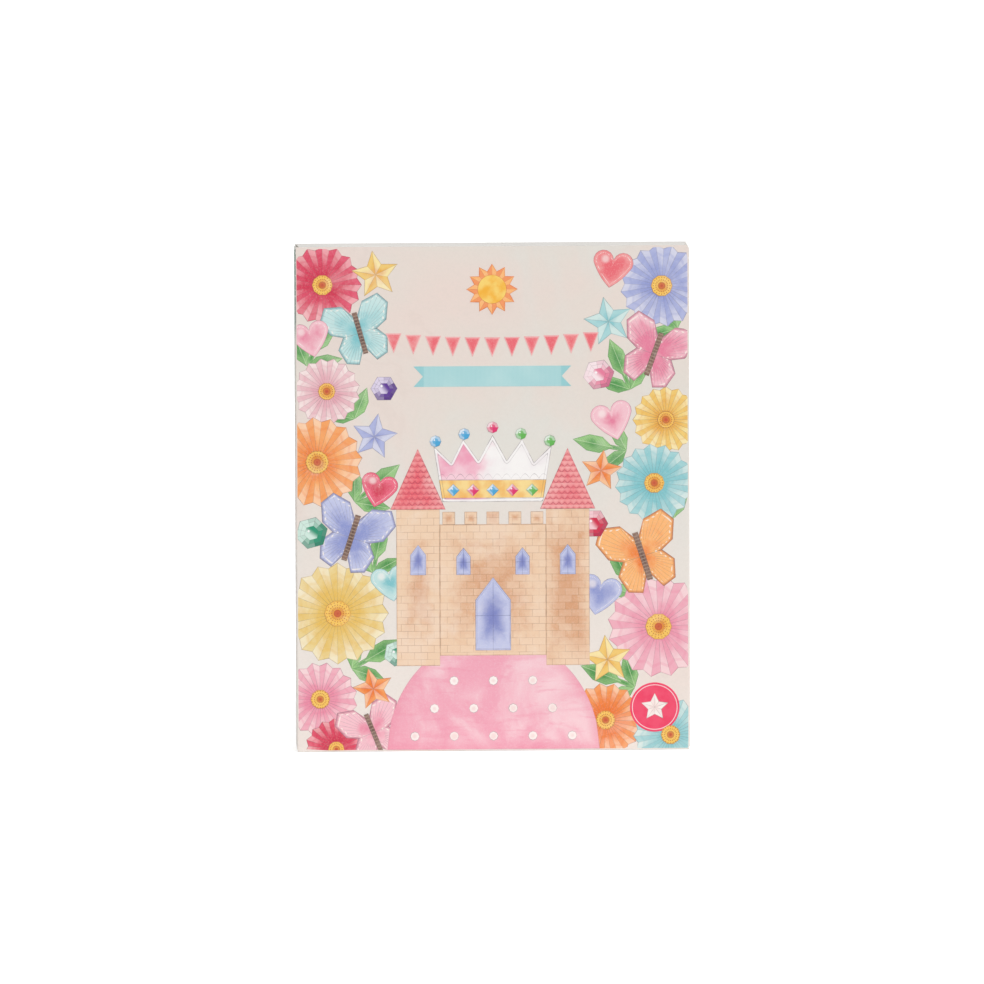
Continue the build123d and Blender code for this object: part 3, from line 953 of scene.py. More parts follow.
def print_look(place, kind, paint):
    """Satin ink without a coat, in the colour that a pattern lays on."""
    art = Artwork(place, paint)
    PATTERNS[kind](art)
    return {"Base Color": art.colour, "Roughness": 0.5, "Specular IOR Level": 0.3}


def finish_for(name):
    """Material for a kind of motif in a paint, such as "heart in rose", made when first asked for."""
    if name not in FINISHES:
        FINISHES[name] = build_material(name, print_look, *name.split(" in "))
    return FINISHES[name]


# %% Patterns of the garlands' motifs


@pattern
def rosette_paint(art):
    """Pleated fan: one side of each pleat in shade, folds drawn in ink, and a deeper ring near the rim."""
    side, fold, _from_middle, _light = pleats(art.own, 16.0)
    art.wash(0.6)
    art.lay(side * step(art.share, 0.15, 0.9, 0.20, 0.36), art.deep)
    art.lay((1.0 - side) * rise(art.share, 0.45, 0.95, 0.30), "FFF8F0")
    art.lay(fade(abs(art.share - 0.80), 0.02, 0.045, 0.22), art.deep)
    art.ink(fold, 0.22, 0.42)
    art.ink(art.rim, 0.42, 0.62)


@pattern
def star_paint(art):
    """Folded star: ten facets that meet in the middle, light and dark by turns."""
    side, fold, _from_middle, _light = pleats(art.own, 5.0)
    art.wash(0.45)
    art.lay(side * 0.42, art.deep)
    art.lay((1.0 - side) * 0.22, "FFF9EE")
    art.ink(fold, 0.22, 0.45)
    art.ink(art.rim, 0.42, 0.62)


@pattern
def heart_paint(art):
    """Paper heart: a stitched line inside the rim and a pale gleam on one shoulder."""
    dash = rise(sine((art.x + art.y) * 5.2), -0.1, 0.1)
    art.wash(0.5)
    art.lay(fade(hypot(art.x / art.size + 0.42, art.y / art.size - 0.42), 0.08, 0.3, 0.55), "FFF6F2")
    art.lay(fade(abs(art.rim - 1.5), 0.10, 0.22, 0.8) * dash, "FFF7F2")
    art.ink(art.rim, 0.42, 0.62)


@pattern
def butterfly_paint(art):
    """Wings with veins from the body, a dark rim and a row of pale spots near it."""
    _side, vein, from_middle, _light = pleats(art.own, 26.0)
    beads = rise(sine(from_middle * 2.6), 0.1, 0.5)
    art.wash(0.45)
    art.lay(fade(art.rim, 0.5, 1.6, 0.62), blend(0.45, art.deep, "5E4A52"))
    art.ink(vein + fade(art.share, 0.2, 0.45), 0.2, 0.42)
    art.lay(fade(abs(art.rim - 1.9), 0.25, 0.5, 0.75) * beads, "FFF6EC")
    art.ink(abs(art.y), 0.35, 0.45)
    art.ink(art.rim, 0.46, 0.7)


@pattern
def sprig_paint(art):
    """Leaf with a light midrib, paired side veins that lean towards the tip, and one half in shade."""
    ribs = abs(maths("FRACT", (art.x - abs(art.y) * 1.1) * 0.62 + 64.0) - 0.5)
    art.wash(0.5)
    art.lay(rise(art.y, -0.15, 0.15, 0.3), "4C8C4A")
    art.lay(fade(ribs, 0.03, 0.12, 0.32), "3F7C48")
    art.lay(fade(abs(art.y), 0.08, 0.26, 0.6), "CFE6B8")
    art.ink(art.rim, 0.36, 0.5, "55705A")


@pattern
def stone_paint(art):
    """Cut stone: a clear table, two rows of facets lit from the upper left, drawn edges and a gleam."""
    _side, fold, _from_middle, outer_light = pleats(art.own, 6.0)
    inner_light = pleats(art.own, 12.0)[3]
    bright = blend(0.55, art.pale, "FFFFFF")
    skirt = mix(outer_light, blend(0.25, art.deep, "40304A"), bright)
    table = mix(rise(art.x + art.y * 0.8, -2.5, 2.5), bright, art.deep)
    art.colour = mix(inner_light, art.deep, bright)
    art.lay(rise(art.share, 0.72, 0.74), skirt)
    art.lay(fade(art.share, 0.44, 0.46), table)
    art.lay(fade(abs(art.x + 1.3) + abs(art.y - 1.4), 0.5, 1.1, 0.95), "FFFFFF")
    for edge in (0.45, 0.73):
        art.ink(abs(art.share - edge) * art.size, 0.2, 0.5)
    art.ink(fold + fade(art.share, 0.40, 0.45, 2.0), 0.2, 0.45)
    art.ink(art.rim, 0.42, 0.7)


@pattern
def plain_paint(art):
    """Plain brushed field with an ink outline."""
    art.wash(0.5)
    art.ink(art.rim, 0.42, 0.6)


PATTERNS["dot"] = plain_paint
print("patterns so far:", ", ".join(PATTERNS))

# %% [markdown]
# ## The two garlands
#
# Rosettes, folded stars, hearts, butterflies, sprigs and cut stones run down both sides of the front panel.
# Where two of them meet, the one nearer the start of the list lies on top, so each kind has a level of its
# own within the tenth of a millimetre that the ink is thick.

# %% Levels of the print
LEVELS = ("top", "roof", "wall", "hill", "stone", "heart", "star", "butterfly", "rosette", "sprig")
LEVEL_STEP = 0.009 * MM
RANK_STEP = 0.3


def level(kind, rank=0):
    """Depth of a shape's front: its kind's level, and a small part of it by its rank, modulo three."""
    return FIELD_TOP + (LEVELS.index(kind) + RANK_STEP * (rank % 3)) * LEVEL_STEP


def hundredths(u, v):
    """Place in metres of a point in hundredths of the panel's width, from the middle, and its height."""
    return u / 100 * WIDTH, v / 100 * HEIGHT


def size_of(hundredth):
    """Length of a size in hundredths of the panel's width."""
    return hundredth / 100 * WIDTH


def tall(hundredth):
    """Length of a size in hundredths of the panel's height."""
    return hundredth / 100 * HEIGHT


# %% List of the garlands' motifs: paint, place across and up, size, and turn in degrees
GARLANDS = {
    "stone": (
        ("violet", -27.5, 72.0, 3.4, 0), ("sea", -46.0, 43.5, 4.2, 15), ("rose", 27.0, 74.5, 4.0, 10),
        ("crimson", 25.5, 45.0, 3.8, 0), ("sea", -24.5, 19.5, 3.4, 20),
    ),
    "heart": (
        ("rose", -46.0, 82.0, 4.8, 12), ("crimson", -29.0, 52.0, 4.6, -14), ("aqua", -26.0, 33.5, 4.8, 10),
        ("coral", 30.5, 95.5, 5.0, -10), ("rose", 30.5, 65.5, 5.2, 14),
        ("periwinkle", 27.0, 31.0, 5.4, -12),
    ),
    "star": (
        ("yellow", -29.5, 94.5, 6.2, 8), ("periwinkle", -30.0, 62.5, 6.0, -10),
        ("orange", -30.5, 12.5, 5.4, 14), ("aqua", 29.5, 85.0, 6.4, 12), ("orange", 27.5, 55.5, 5.4, -8),
        ("yellow", 29.0, 18.0, 6.4, 6),
    ),
    "butterfly": (
        ("aqua", -33.5, 83.0, 9.0, 16), ("periwinkle", -36.0, 42.5, 10.0, -18),
        ("rose", -30.5, 3.8, 8.5, 22), ("rose", 41.0, 78.5, 9.5, -20), ("orange", 38.0, 38.5, 10.5, 18),
    ),
    "rosette": (
        ("crimson", -43.0, 92.5, 10.0, 0), ("blush", -42.0, 71.5, 8.5, 10), ("orange", -44.5, 57.5, 11.5, 5),
        ("cream", -39.5, 27.5, 13.0, 0), ("rose", -44.0, 10.5, 9.5, 12), ("crimson", -40.0, 0.5, 8.0, 4),
        ("periwinkle", 43.0, 92.0, 10.5, 8), ("yellow", 44.0, 65.5, 8.5, 0), ("aqua", 41.0, 53.0, 10.0, 6),
        ("rose", 42.0, 24.5, 13.0, 14), ("orange", 28.5, 6.0, 9.5, 9), ("aqua", 45.0, 3.0, 9.5, 2),
    ),
    "sprig": (
        ("leaf", -47.0, 76.5, 15.0, 62), ("leaf", -35.0, 66.0, 14.0, 118), ("leaf", -35.0, 49.5, 15.0, 40),
        ("leaf", -30.5, 35.5, 13.0, 78), ("leaf", -36.0, 16.5, 15.0, 30), ("leaf", 47.0, 83.5, 15.0, 146),
        ("leaf", 35.0, 71.5, 14.0, 112), ("leaf", 34.0, 59.5, 14.0, 168), ("leaf", 46.0, 46.0, 15.0, 124),
        ("leaf", 36.0, 31.0, 14.0, 116), ("leaf", 36.0, 12.5, 15.0, 158),
    ),
}
MOTIFS = [(kind, *motif_row) for kind, rows in GARLANDS.items() for motif_row in rows]

# %% Motifs of the garlands
LEAVES = ((0.0, 0.25, 0.75), (50.0, 0.0, 0.62), (-50.0, 0.0, 0.62))
LEAF_STEP = 0.0008 * MM
STALK_DEPTH = 0.004 * MM


def moved(middle, distance, direction):
    """Point at a distance and a direction in degrees from another."""
    turned = np.radians(direction)
    return middle[0] + distance * np.cos(turned), middle[1] + distance * np.sin(turned)


def keep_sprig(middle, size, turn, rank):
    """Three leaves and a stalk, each a shell of its own round its own middle."""
    front = level("sprig", rank)
    leaf, finish = OUTLINES["leaf"], "sprig in leaf"
    for number, (lean, start, share) in enumerate(LEAVES):
        at = moved(middle, (start + share / 2) * size, turn + lean)
        depth = front + LEAF_STEP * (number + 1)
        tone = np.sin(5.1 * rank + 2.3 * number)
        keep(motif(leaf, share * size, at, turn + lean, depth, FRONT_FACE, finish, tone))
    at = moved(middle, 0.2 * size, turn)
    keep(motif(OUTLINES["stalk"], size, at, turn, front + STALK_DEPTH, FRONT_FACE, "plain in leaf"))


for rank, (kind, paint, u, v, size, turn) in enumerate(MOTIFS):
    middle, reach = hundredths(u, v), size_of(size)
    if kind == "sprig":
        keep_sprig(middle, reach, turn, rank)
    else:
        finish, tone = f"{kind} in {paint}", np.sin(3.7 * rank)
        keep(motif(OUTLINES[kind], reach, middle, turn, level(kind, rank), FRONT_FACE, finish, tone))
print(sum(len(shells) for shells in SHELLS.values()), "shells in the garlands")

# %% [markdown]
# ## The middle of the picture
#
# A row of pennants hangs near the top, with a sun above it and a ribbon below. Under them a crown floats
# over a castle on a round hill. The crown and the hill are strips between a lower and an upper edge.

# %% Pennants, ribbon and sun
PENNANTS = 11
PENNANT_PITCH = 5.0
PENNANT_SAG = 0.035
PENNANT_TOP = 82
PENNANT_SIZE = (2.0, 5.0)
RIBBON_PLACE = (0, 74.3)
RIBBON_SIZE = (20, 2.6, 2.4)
SUN_PLACE = (0, 91.5)
SUN_SIZE = 6.5


def add_shape(corners, u, v, kind, finish, tone=0.0):
    """Motif of straight edges, in metres round a place in hundredths. Its middle is the corners' mean."""
    corners = np.asarray(corners, float)
    middle = corners.mean(0)
    size = np.abs(corners - middle).max()
    at = middle + hundredths(u, v)
    keep(motif((corners - middle) / size, size, at, 0, level(kind), FRONT_FACE, finish, tone))


def add_round(outline, size, place, kind, finish):
    """Motif of a ready outline, its size and place in hundredths."""
    keep(motif(outline, size_of(size), hundredths(*place), 0, level(kind), FRONT_FACE, finish))


for flag in range(PENNANTS):
    half, drop = map(size_of, PENNANT_SIZE)
    out = flag - (PENNANTS - 1) / 2
    u, v = out * PENNANT_PITCH, PENNANT_TOP + PENNANT_SAG * out ** 2
    add_shape([(-half, 0), (0, -drop), (half, 0)], u, v, "top", "pennant in coral", np.sin(2.9 * flag))

half, high, fork = map(size_of, RIBBON_SIZE)
corners = [(half, high), (half - fork, 0), (half, -high), (-half, -high), (-half + fork, 0), (-half, high)]
add_shape(corners, *RIBBON_PLACE, "top", "ribbon in aqua")
add_round(zigzag(12, 0.72), SUN_SIZE, SUN_PLACE, "top", "sun in orange")
print(PENNANTS, "pennants, a ribbon and a sun")

# %% Crown
CROWN_PLACE = (0, 49.5)
CROWN_HALF = 15
CROWN_HIGH = 17
CROWN_BASE = 6
CROWN_PEAKS = ((1, 0.75), (0.7, 0.35), (0.5, 0.9), (0.24, 0.4))
CROWN_FOOT = 0.85


def along(corners, count=120):
    """Points on a line through corners, the corners among them, about evenly spaced."""
    corners = np.asarray(corners, float)
    lengths = np.concatenate([[0], np.cumsum(np.hypot(*np.diff(corners, axis=0).T))])
    places = np.unique(np.round(np.concatenate([lengths, np.linspace(0, lengths[-1], count)]), 9))
    return np.stack([np.interp(places, lengths, way) for way in corners.T], 1)


def crown_edges(u, v):
    """Lower and upper edge of five peaks: a peak's height is a share of the rise above the base."""
    half, low, high = size_of(CROWN_HALF), size_of(CROWN_BASE), size_of(CROWN_HIGH)
    left = [(-share * half, low + height * (high - low)) for share, height in CROWN_PEAKS]
    upper = along([*left, (0, high), *[(-x, z) for x, z in reversed(left)]])
    return upper * (CROWN_FOOT, 0) + hundredths(u, v), upper + hundredths(u, v)


keep(strip(*crown_edges(*CROWN_PLACE), level("top"), FRONT_FACE, "crown in white"))

# %% Castle and hill: place across and up, width and height
TURRET_PITCH = 5.6
TURRETS = tuple((number * TURRET_PITCH, 45, 3.2, 2.5) for number in range(-2, 3))
WALLS = ((0, 19, 27, 26), (-19, 17, 11, 31), (19, 17, 11, 31), *TURRETS)
OPENINGS = ((0, 20, 9, 10), (-19, 35, 4, 4), (19, 35, 4, 4), (-7.5, 35, 3.6, 3.6), (7.5, 35, 3.6, 3.6))
TOWER_ACROSS = 19
ROOF_FOOT = 48
ROOF_SIZE = (7, 12)
HILL_SIZE = (27, 23)
HILL_EDGE = 1e-5
SPOT_PLACE = (41, 8.5)
SPOT_SIZE = 6.3

for number, (u, v, wide, high) in enumerate(WALLS):
    half, top = size_of(wide) / 2, tall(high)
    corners = [(-half, 0), (half, 0), (half, top), (-half, top)]
    add_shape(corners, u, v, "wall", "wall in peach", np.sin(2.2 * number))
for u, v, wide, high in OPENINGS:
    half, top = size_of(wide) / 2, tall(high)
    corners = [(-half, 0), (half, 0), (half, top), (0, tall(high + wide / 2)), (-half, top)]
    add_shape(corners, u, v, "top", "window in periwinkle")
for side in (-1, 1):
    half, top = size_of(ROOF_SIZE[0]), tall(ROOF_SIZE[1])
    corners = [(-half, 0), (half, 0), (0, top)]
    add_shape(corners, TOWER_ACROSS * side, ROOF_FOOT, "roof", "roof in coral", side)

hill_x = np.linspace(-1, 1, 61)
hill_top = np.maximum(np.sqrt(np.maximum(1 - hill_x ** 2, 0)) * tall(HILL_SIZE[1]), PANEL_LOW + HILL_EDGE)
upper = np.stack([hill_x * size_of(HILL_SIZE[0]), hill_top], 1)
lower = upper * (1, 0) + (0, PANEL_LOW)
keep(strip(lower, upper, level("hill"), FRONT_FACE, "hill in rose"))
add_round(regular(64), SPOT_SIZE, SPOT_PLACE, "roof", "spot in spot")
print("castle of", len(WALLS), "walls and", len(OPENINGS), "openings")

# %% [markdown]
# ## Second layer of ink
#
# Middles of rosettes, bodies of butterflies, dots on the hill, stones on the crown and the star on the spot
# are printed over the fields, a tenth of a millimetre higher.

# %% Accents
DOT_ROWS = ((3.0, 5), (8.5, 4), (14.0, 3))
DOT_PITCH = 10
DOT_SIZE = 1.2
MIDDLE_SHARE = 0.26
STAR_SIZE = 3.6
CROWN_STONES = ((-14.5, 61.5), (-7.2, 62.9), (0, 64.2), (7.2, 62.9), (14.5, 61.5))
BAND_STONES = range(-2, 3)
BAND_STONE_PITCH = 5
BAND_STONE_HIGH = 51.8


def accent(outline, size, place, finish, tone=0.0, turn=0):
    """Motif of the second layer, its size and place in hundredths."""
    keep(motif(outline, size_of(size), hundredths(*place), turn, ACCENT_TOP, FIELD_TOP, finish, tone))


for rank, (kind, _paint, u, v, size, turn) in enumerate(MOTIFS):
    if kind == "rosette":
        accent(regular(10), MIDDLE_SHARE * size, (u, v), "middle in middles", np.sin(rank))
    if kind == "butterfly":
        accent(box_outline(0.14, 1.2), size, (u, v), "body in bodies", np.sin(rank), turn)
for v, count in DOT_ROWS:
    for dot in range(count):
        place = ((dot - (count - 1) / 2) * DOT_PITCH, v)
        accent(regular(8), DOT_SIZE, place, "dot in dots", np.sin(dot + v))
accent(OUTLINES["star"], STAR_SIZE, SPOT_PLACE, "star in dots")
for number, place in enumerate(CROWN_STONES):
    accent(regular(8), 1.5, place, "jewel in stones", number / 2 - 1)
for number in BAND_STONES:
    place = (BAND_STONE_PITCH * number, BAND_STONE_HIGH)
    accent(regular(4), 1.6, place, "jewel in stones", (number * 0.8) % 1.7 - 0.8)

# %% Patterns of the middle of the picture
BAND_TOP = 0.37
BAND_FOOT = 0.06


@pattern
def pennant_paint(art):
    """Pennant of plain colour with a paler hem."""
    art.wash(0.9)
    art.lay(rise(art.share, 0.80, 0.84, 0.35), "FFF3EF")
    art.ink(art.rim, 0.3, 0.4, "C9616B")


@pattern
def ribbon_paint(art):
    """Woven ribbon: a fine weave over pale clouds, and darker forked ends."""
    art.colour = blend(0.55, art.deep, art.pale)
    art.lay(rise(noise(art.place, 60.0, 4.0), 0.35, 0.7, 0.4), art.pale)
    art.lay(rise(abs(art.x) / art.size, 0.86, 0.88, 0.55), art.deep)
    art.lay(rise(sine(art.x * 9.0), 0.2, 1.0, 0.12), "FFFFFF")


@pattern
def sun_paint(art):
    """Sun: a bright disc inside a drawn ring, and folded rays."""
    side, fold, from_middle, _light = pleats(art.own, 12.0)
    radius = from_middle / art.size
    disc = fade(radius, 0.55, 0.57)
    art.wash(0.3)
    art.lay(side * 0.4, "E9502F")
    art.lay(disc, clouds(art.place, 150.0, 4.0, 0.35, 0.7, "F7B63E", "FCD877"))
    art.ink(abs(radius - 0.56) * art.size, 0.3, 0.6, "B9472F")
    art.ink(fold + disc * 5.0, 0.2, 0.5, "B9472F")
    art.ink(art.rim, 0.4, 0.6, "A5483A")


@pattern
def crown_paint(art):
    """Crown as if half coloured in: white card, a gold band, a pink wash, scallops and a double outline.

    Its height above the foot is counted in shares of its size, which is half its width.
    """
    up = art.y / art.size + CROWN_HIGH / (2 * CROWN_HALF)
    over = (up - BAND_TOP) * art.size
    band = fade(up, BAND_TOP - 0.01, BAND_TOP) * rise(up, BAND_FOOT, BAND_FOOT + 0.01)
    brush = art.x * 0.05 + (noise(art.place, 34.0, 4.0, 0.6, 0.8) - 0.5) * 4.0
    coloured = fade(brush, -0.5, 0.5) * rise(art.rim, 1.0, 1.6, 0.85)
    wave = abs(sine(art.x * 0.62)) * 2.6
    art.colour = clouds(art.place, 60.0, 4.0, 0.4, 0.65, "FBF8F6", "F3EDEE")
    art.lay(coloured, clouds(art.place, 90.0, 4.0, 0.35, 0.65, "F08FB0", "F9CBD8"))
    art.lay(band * 0.9, clouds(art.place, 110.0, 4.0, 0.35, 0.65, "F3B64A", "FBDD8C"))
    art.ink(least(abs(over), abs(up - BAND_FOOT) * art.size), 0.34, 0.65)
    art.ink(abs(over - wave - 0.6), 0.28, 0.55)
    art.ink(abs(art.rim - 1.5), 0.24, 0.5)
    art.ink(art.rim, 0.5, 0.8)


@pattern
def wall_paint(art):
    """Courses of stone blocks in uneven tints, with drawn joints."""
    x, _y, z = millimetres(art.place)
    blocks = add_node(x.tree, "TexBrick", {
        "Vector": combine(x, z), "Color1": "FFFFFF", "Color2": "000000", "Mortar": "808080", "Scale": 1.0,
        "Mortar Size": 0.16, "Mortar Smooth": 0.4, "Brick Width": 7.2, "Row Height": 3.9,
    }).outputs
    art.wash(0.5)
    art.lay(Value(blocks["Color"]) * 0.34, "F7DEC6")
    art.lay(Value(blocks["Fac"]) * step(noise(art.place, 110.0, 3.0), 0.35, 0.65, 0.15, 0.5), "A87A5C")
    art.ink(art.rim, 0.42, 0.6, "7A6257")


@pattern
def roof_paint(art):
    """Rows of round tiles: each row is shifted by half a tile, and each tile is darker at its lower rim."""
    row = art.y / 3.0
    shift = ((maths("FLOOR", row) + 40.0) % 2.0) * 0.5
    tile = maths("FRACT", art.x / 3.2 + shift + 40.0)
    above = maths("FRACT", row) - abs(tile - 0.5) * 0.9
    art.wash(0.5)
    art.lay(fade(above, 0.0, 0.6, 0.5), "D8475C")
    art.ink(abs(above), 0.16, 0.5, "A83F52")
    art.ink(art.rim, 0.42, 0.6)


@pattern
def window_paint(art):
    """Dusk-blue panes, deeper in the middle, with a cross of glazing bars and an inner frame line."""
    art.wash(0.5)
    art.lay(fade(art.share, 0.0, 0.8, 0.55), "6F76B8")
    art.ink(least(abs(art.x), abs(art.y)), 0.3, 0.5, "59608F")
    art.ink(abs(art.rim - 0.9), 0.2, 0.5, "59608F")
    art.ink(art.rim, 0.46, 0.7, "5D5360")


@pattern
def hill_paint(art):
    """Soft pink hill: slow clouds, level brush strokes, a deeper rim and grains of pale paper."""
    cloud = noise(art.place, 26.0, 5.0, 0.6, 0.7)
    stroke = noise(stretch(art.place, (1.0, 1.0, 5.0)), 60.0, 3.0, 0.6, 0.5)
    art.colour = mix(rise(cloud, 0.36, 0.66), "F2A9BC", "F9D3DA")
    art.lay(rise(stroke, 0.5, 0.7, 0.4), "EE93AC")
    art.lay(fade(art.rim, 0.0, 7.0, 0.5), "EC8FA8")
    art.lay(rise(noise(art.place, 1500.0, 3.0, 0.7), 0.45, 0.75, 0.2), "FFF4F2")
    art.ink(art.rim, 0.4, 0.45, "B96C80")


@pattern
def spot_paint(art):
    """Flat printed spot with a thin pale ring inside its rim."""
    art.colour = clouds(art.place, 200.0, 3.0, 0.4, 0.6, "F0476A", "F25373")
    art.lay(fade(abs(art.rim - 1.3), 0.12, 0.3, 0.85), "FFE9EA")


# %% Patterns of the accents


@pattern
def middle_paint(art):
    """Button in the middle of a rosette: spokes of small dots round a dark heart."""
    _side, fold, from_middle, _light = pleats(art.own, 10.0)
    art.wash(0.4)
    art.lay(rise(sine(from_middle * 4.4), 0.0, 0.5) * fade(fold, 0.12, 0.34, 0.8), "B5543A")
    art.lay(fade(art.share, 0.24, 0.32, 0.75), "C9563F")
    art.ink(art.rim, 0.36, 0.65, "8A5348")


@pattern
def body_paint(art):
    """Body with pale rings."""
    art.wash(0.5)
    art.lay(rise(sine(art.y * 3.4), 0.2, 0.8, 0.5), "B9A08F")
    art.ink(art.rim, 0.3, 0.6, "3F322E")


@pattern
def jewel_paint(art):
    """Stone of the crown: its tone picks blue, pink or green, with lit facets and a gleam."""
    hue = lay("4FA8D8", (rise(art.tone, -0.45, -0.40), "E03A72"), (rise(art.tone, 0.40, 0.45), "66B556"))
    art.colour = mix(pleats(art.own, 4.0)[3] * 0.7, hue, "FFFFFF")
    art.lay(fade(art.share, 0.50, 0.56, 0.8), hue)
    art.lay(fade(abs(art.x + 0.6) + abs(art.y - 0.7), 0.3, 0.7, 0.95), "FFFFFF")
    art.ink(art.rim, 0.36, 0.7)


print(len(PATTERNS), "patterns")

# %% [markdown]
# ## Put the print on the box
#
# Each node of print becomes one piece that stands for it, takes its finishes from its shells' paints and
# rides on the box.

# %% Pieces of print
INK_SLOTS = {
    "spot": "ink_red", "bodies": "ink_brown", "middles": "ink_middle", "stones": "ink_stone",
    "dots": "ink_white",
}
for node, shells in SHELLS.items():
    tint = node.split("_")[1]
    piece = build_piece("picture_" + tint, shells)
    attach(piece, "box")
    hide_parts(node)
    INK_SLOTS.get(tint, "ink_" + tint)

# %% [markdown]
# ## Crown sheets
#
# The press-out sheets are uncoated white card, printed in grey line so that a child can colour them in. The
# drawing follows the slots in the solids: a band with two lines and a row of rings, and over it a diamond in
# each peak. The height above a crown's foot repeats from crown to crown, and x from peak to peak.

# %% Layout of the crown sheets, in millimetres
SHEET_MARGIN = 9.0
CROWN_BAND = 24.0
STRAP_WIDTH = 22.0
RING_PITCH = 10.0
SHEET_TINTS = (("F7D9DF", "F3B9C8"), ("D8ECEA", "A9D8DA"), ("F9EBC4", "F3CF86"))


def crown_sheet_look(place, number):
    """Card with the drawing of one sheet: five peaks on the first, and two more on each next one."""
    low, high = (np.array(corner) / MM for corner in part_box(f"crown_sheet_{number + 1}"))
    peak = (high[2] - low[2] - 2 * STRAP_WIDTH - 5 * SHEET_MARGIN) / 2 - CROWN_BAND
    crown_step = CROWN_BAND + peak + SHEET_MARGIN
    half = (high[0] - low[0]) / 2 - SHEET_MARGIN
    peak_step = 2 * half / (5 + 2 * number)
    x, y, z = millimetres(place)
    grain, mottle = fibre(place)
    card = mix(rise(mottle, 0.35, 0.7), "EFECE6", "F6F4EF")
    foot = z - (low[2] + SHEET_MARGIN)
    height = foot % crown_step
    over = height - CROWN_BAND
    cell = abs((x + half) % peak_step - peak_step / 2)
    slope = peak_step / 2 - most(over, 0.0) * (0.5 * peak_step / (0.85 * peak)) - cell
    inside = fade(abs(x), half - 0.3, half) * fade(foot, 2 * crown_step - 0.3, 2 * crown_step)
    crown = inside * rise(slope, 0.5, 1.0)
    brush = mix(rise(noise(place, 40.0, 5.0, 0.6, 0.6), 0.35, 0.65), *SHEET_TINTS[number])
    ring_x = (x + 50 * RING_PITCH) % RING_PITCH - RING_PITCH / 2
    ring_z = height - CROWN_BAND / 2
    ring = hypot(ring_x, ring_z)
    diamond = cell * 1.5 + abs(over - 16.0)
    lines = least(
        abs(abs(ring_z) - (CROWN_BAND / 2 - 3)), abs(ring - 3.4), abs(ring - 1.6), abs(diamond - 9.0),
        abs(diamond - 5.0), abs(slope - 1.6),
    )
    drawn = lay(card, (crown * 0.8, brush), (fade(lines, 0.12, 0.3, 0.75) * crown, "8A7F84"))
    return {
        "Base Color": mix(fade(y, low[1] + 0.05, low[1] + 0.1), card, drawn),
        "Roughness": step(mottle, 0.3, 0.7, 0.78, 0.9),
        "Specular IOR Level": 0.25,
        "Normal": relief(grain, 0.35, 0.04 * MM),
    }


for number in range(len(SHEET_TINTS)):
    dress(f"crown_sheet_{number + 1}", f"crown sheet {number + 1} card", crown_sheet_look, number)

# %% [markdown]
# ## Gem sheet
#
# The backing is thin glossy release paper. The stones are pressed acrylic: clear and deeply coloured, with a
# mirror coat. Light and shade on them are painted: the upper facets are painted lighter towards the upper
# left, and through the table show the underside's facets in painted light and shade, with a painted glow in
# the middle and painted white highlights along the edges.

# %% Backing paper
DOT_GRID = 4.0


def backing_look(place):
    """Pale release paper with a fine grid of dots, where two waves along x and z both peak."""
    x, _y, z = millimetres(place)
    sheen = noise(place, 45.0, 4.0)
    waves = sine(x * (2 * np.pi / DOT_GRID)) * sine(z * (2 * np.pi / DOT_GRID))
    paper = mix(rise(sheen, 0.35, 0.65), "F6EEF0", "FBF6F6")
    return {
        "Base Color": mix(rise(waves, 0.72, 0.85, 0.6), paper, "F0B6C4"),
        "Roughness": step(sheen, 0.3, 0.7, 0.22, 0.34),
        "Coat Weight": 0.5,
        "Coat Roughness": 0.15,
    }


dress("gem_backing", "gem backing paper", backing_look)

# %% Acrylic stones: folds, deep and pale tint of each kind
GEM_PITCH = 28.0
GEM_RADIUS = 8.0
TABLE_REACH = 4.2
GEMS = {
    "gems_round": (10.0, "B3124C", "F77FA8"),
    "gems_square": (8.0, "1565A8", "74C3EE"),
    "gems_hexagon": (6.0, "17813F", "86D983"),
}


def gem_look(place, folds, deep, pale):
    """Pressed acrylic: the place is folded to one stone of the grid, and pleats round it are its facets.

    A stone's own x and y are the place modulo the pitch, less half a pitch. Outside the table each facet
    blends from the deep to the pale tint by painted light from the upper left. Inside it every facet has a
    painted bright and dark half, with a painted glow in the middle and painted white highlights on the edges.
    """
    x, _y, z = millimetres(place)
    first_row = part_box("gems_square")[0].z / MM + GEM_RADIUS
    own = [
        (way + (10.5 * GEM_PITCH - first)) % GEM_PITCH - GEM_PITCH / 2
        for way, first in ((x, 0.0), (z, first_row))
    ]
    # Light here is painted: the cosine between each facet's direction and the upper left.
    side, fold, radius, light = pleats(combine(*own), folds)
    # Painted light and shade on the underside's facets seen through the table: a bright and a dark half each.
    below = mix(side, deep, mix(light, pale, deep))
    return {
        "Base Color": lay(
            mix(light, deep, pale),
            # Painted glow: paler in the middle of the stone.
            (fade(radius, TABLE_REACH - 0.2, TABLE_REACH, 0.9), below),
            (fade(radius, 0.2, 2.4, 0.6), pale),
            # Painted highlights: white along the facet folds and the table's rim.
            (fade(least(fold, abs(radius - TABLE_REACH)), 0.04, 0.16, 0.5), "FFFFFF"),
        ),
        "Roughness": step(noise(place, 900.0, 3.0), 0.3, 0.7, 0.08, 0.18),
        "Coat Weight": 1.0,
        "Coat Roughness": 0.03,
    }


for node, details in GEMS.items():
    dress(node, node.replace("_", " ") + " acrylic", gem_look, *details)

# %% [markdown]
# ## Pencils
#
# Each pencil has two colours, one for each end, in thick gloss paint. A sharpener cuts a cone, and a
# six-sided barrel is thicker at its corners, so the paint ends in scallops. It stops where the distance
# along the barrel plus seven times the extra radius passes the cone's start.

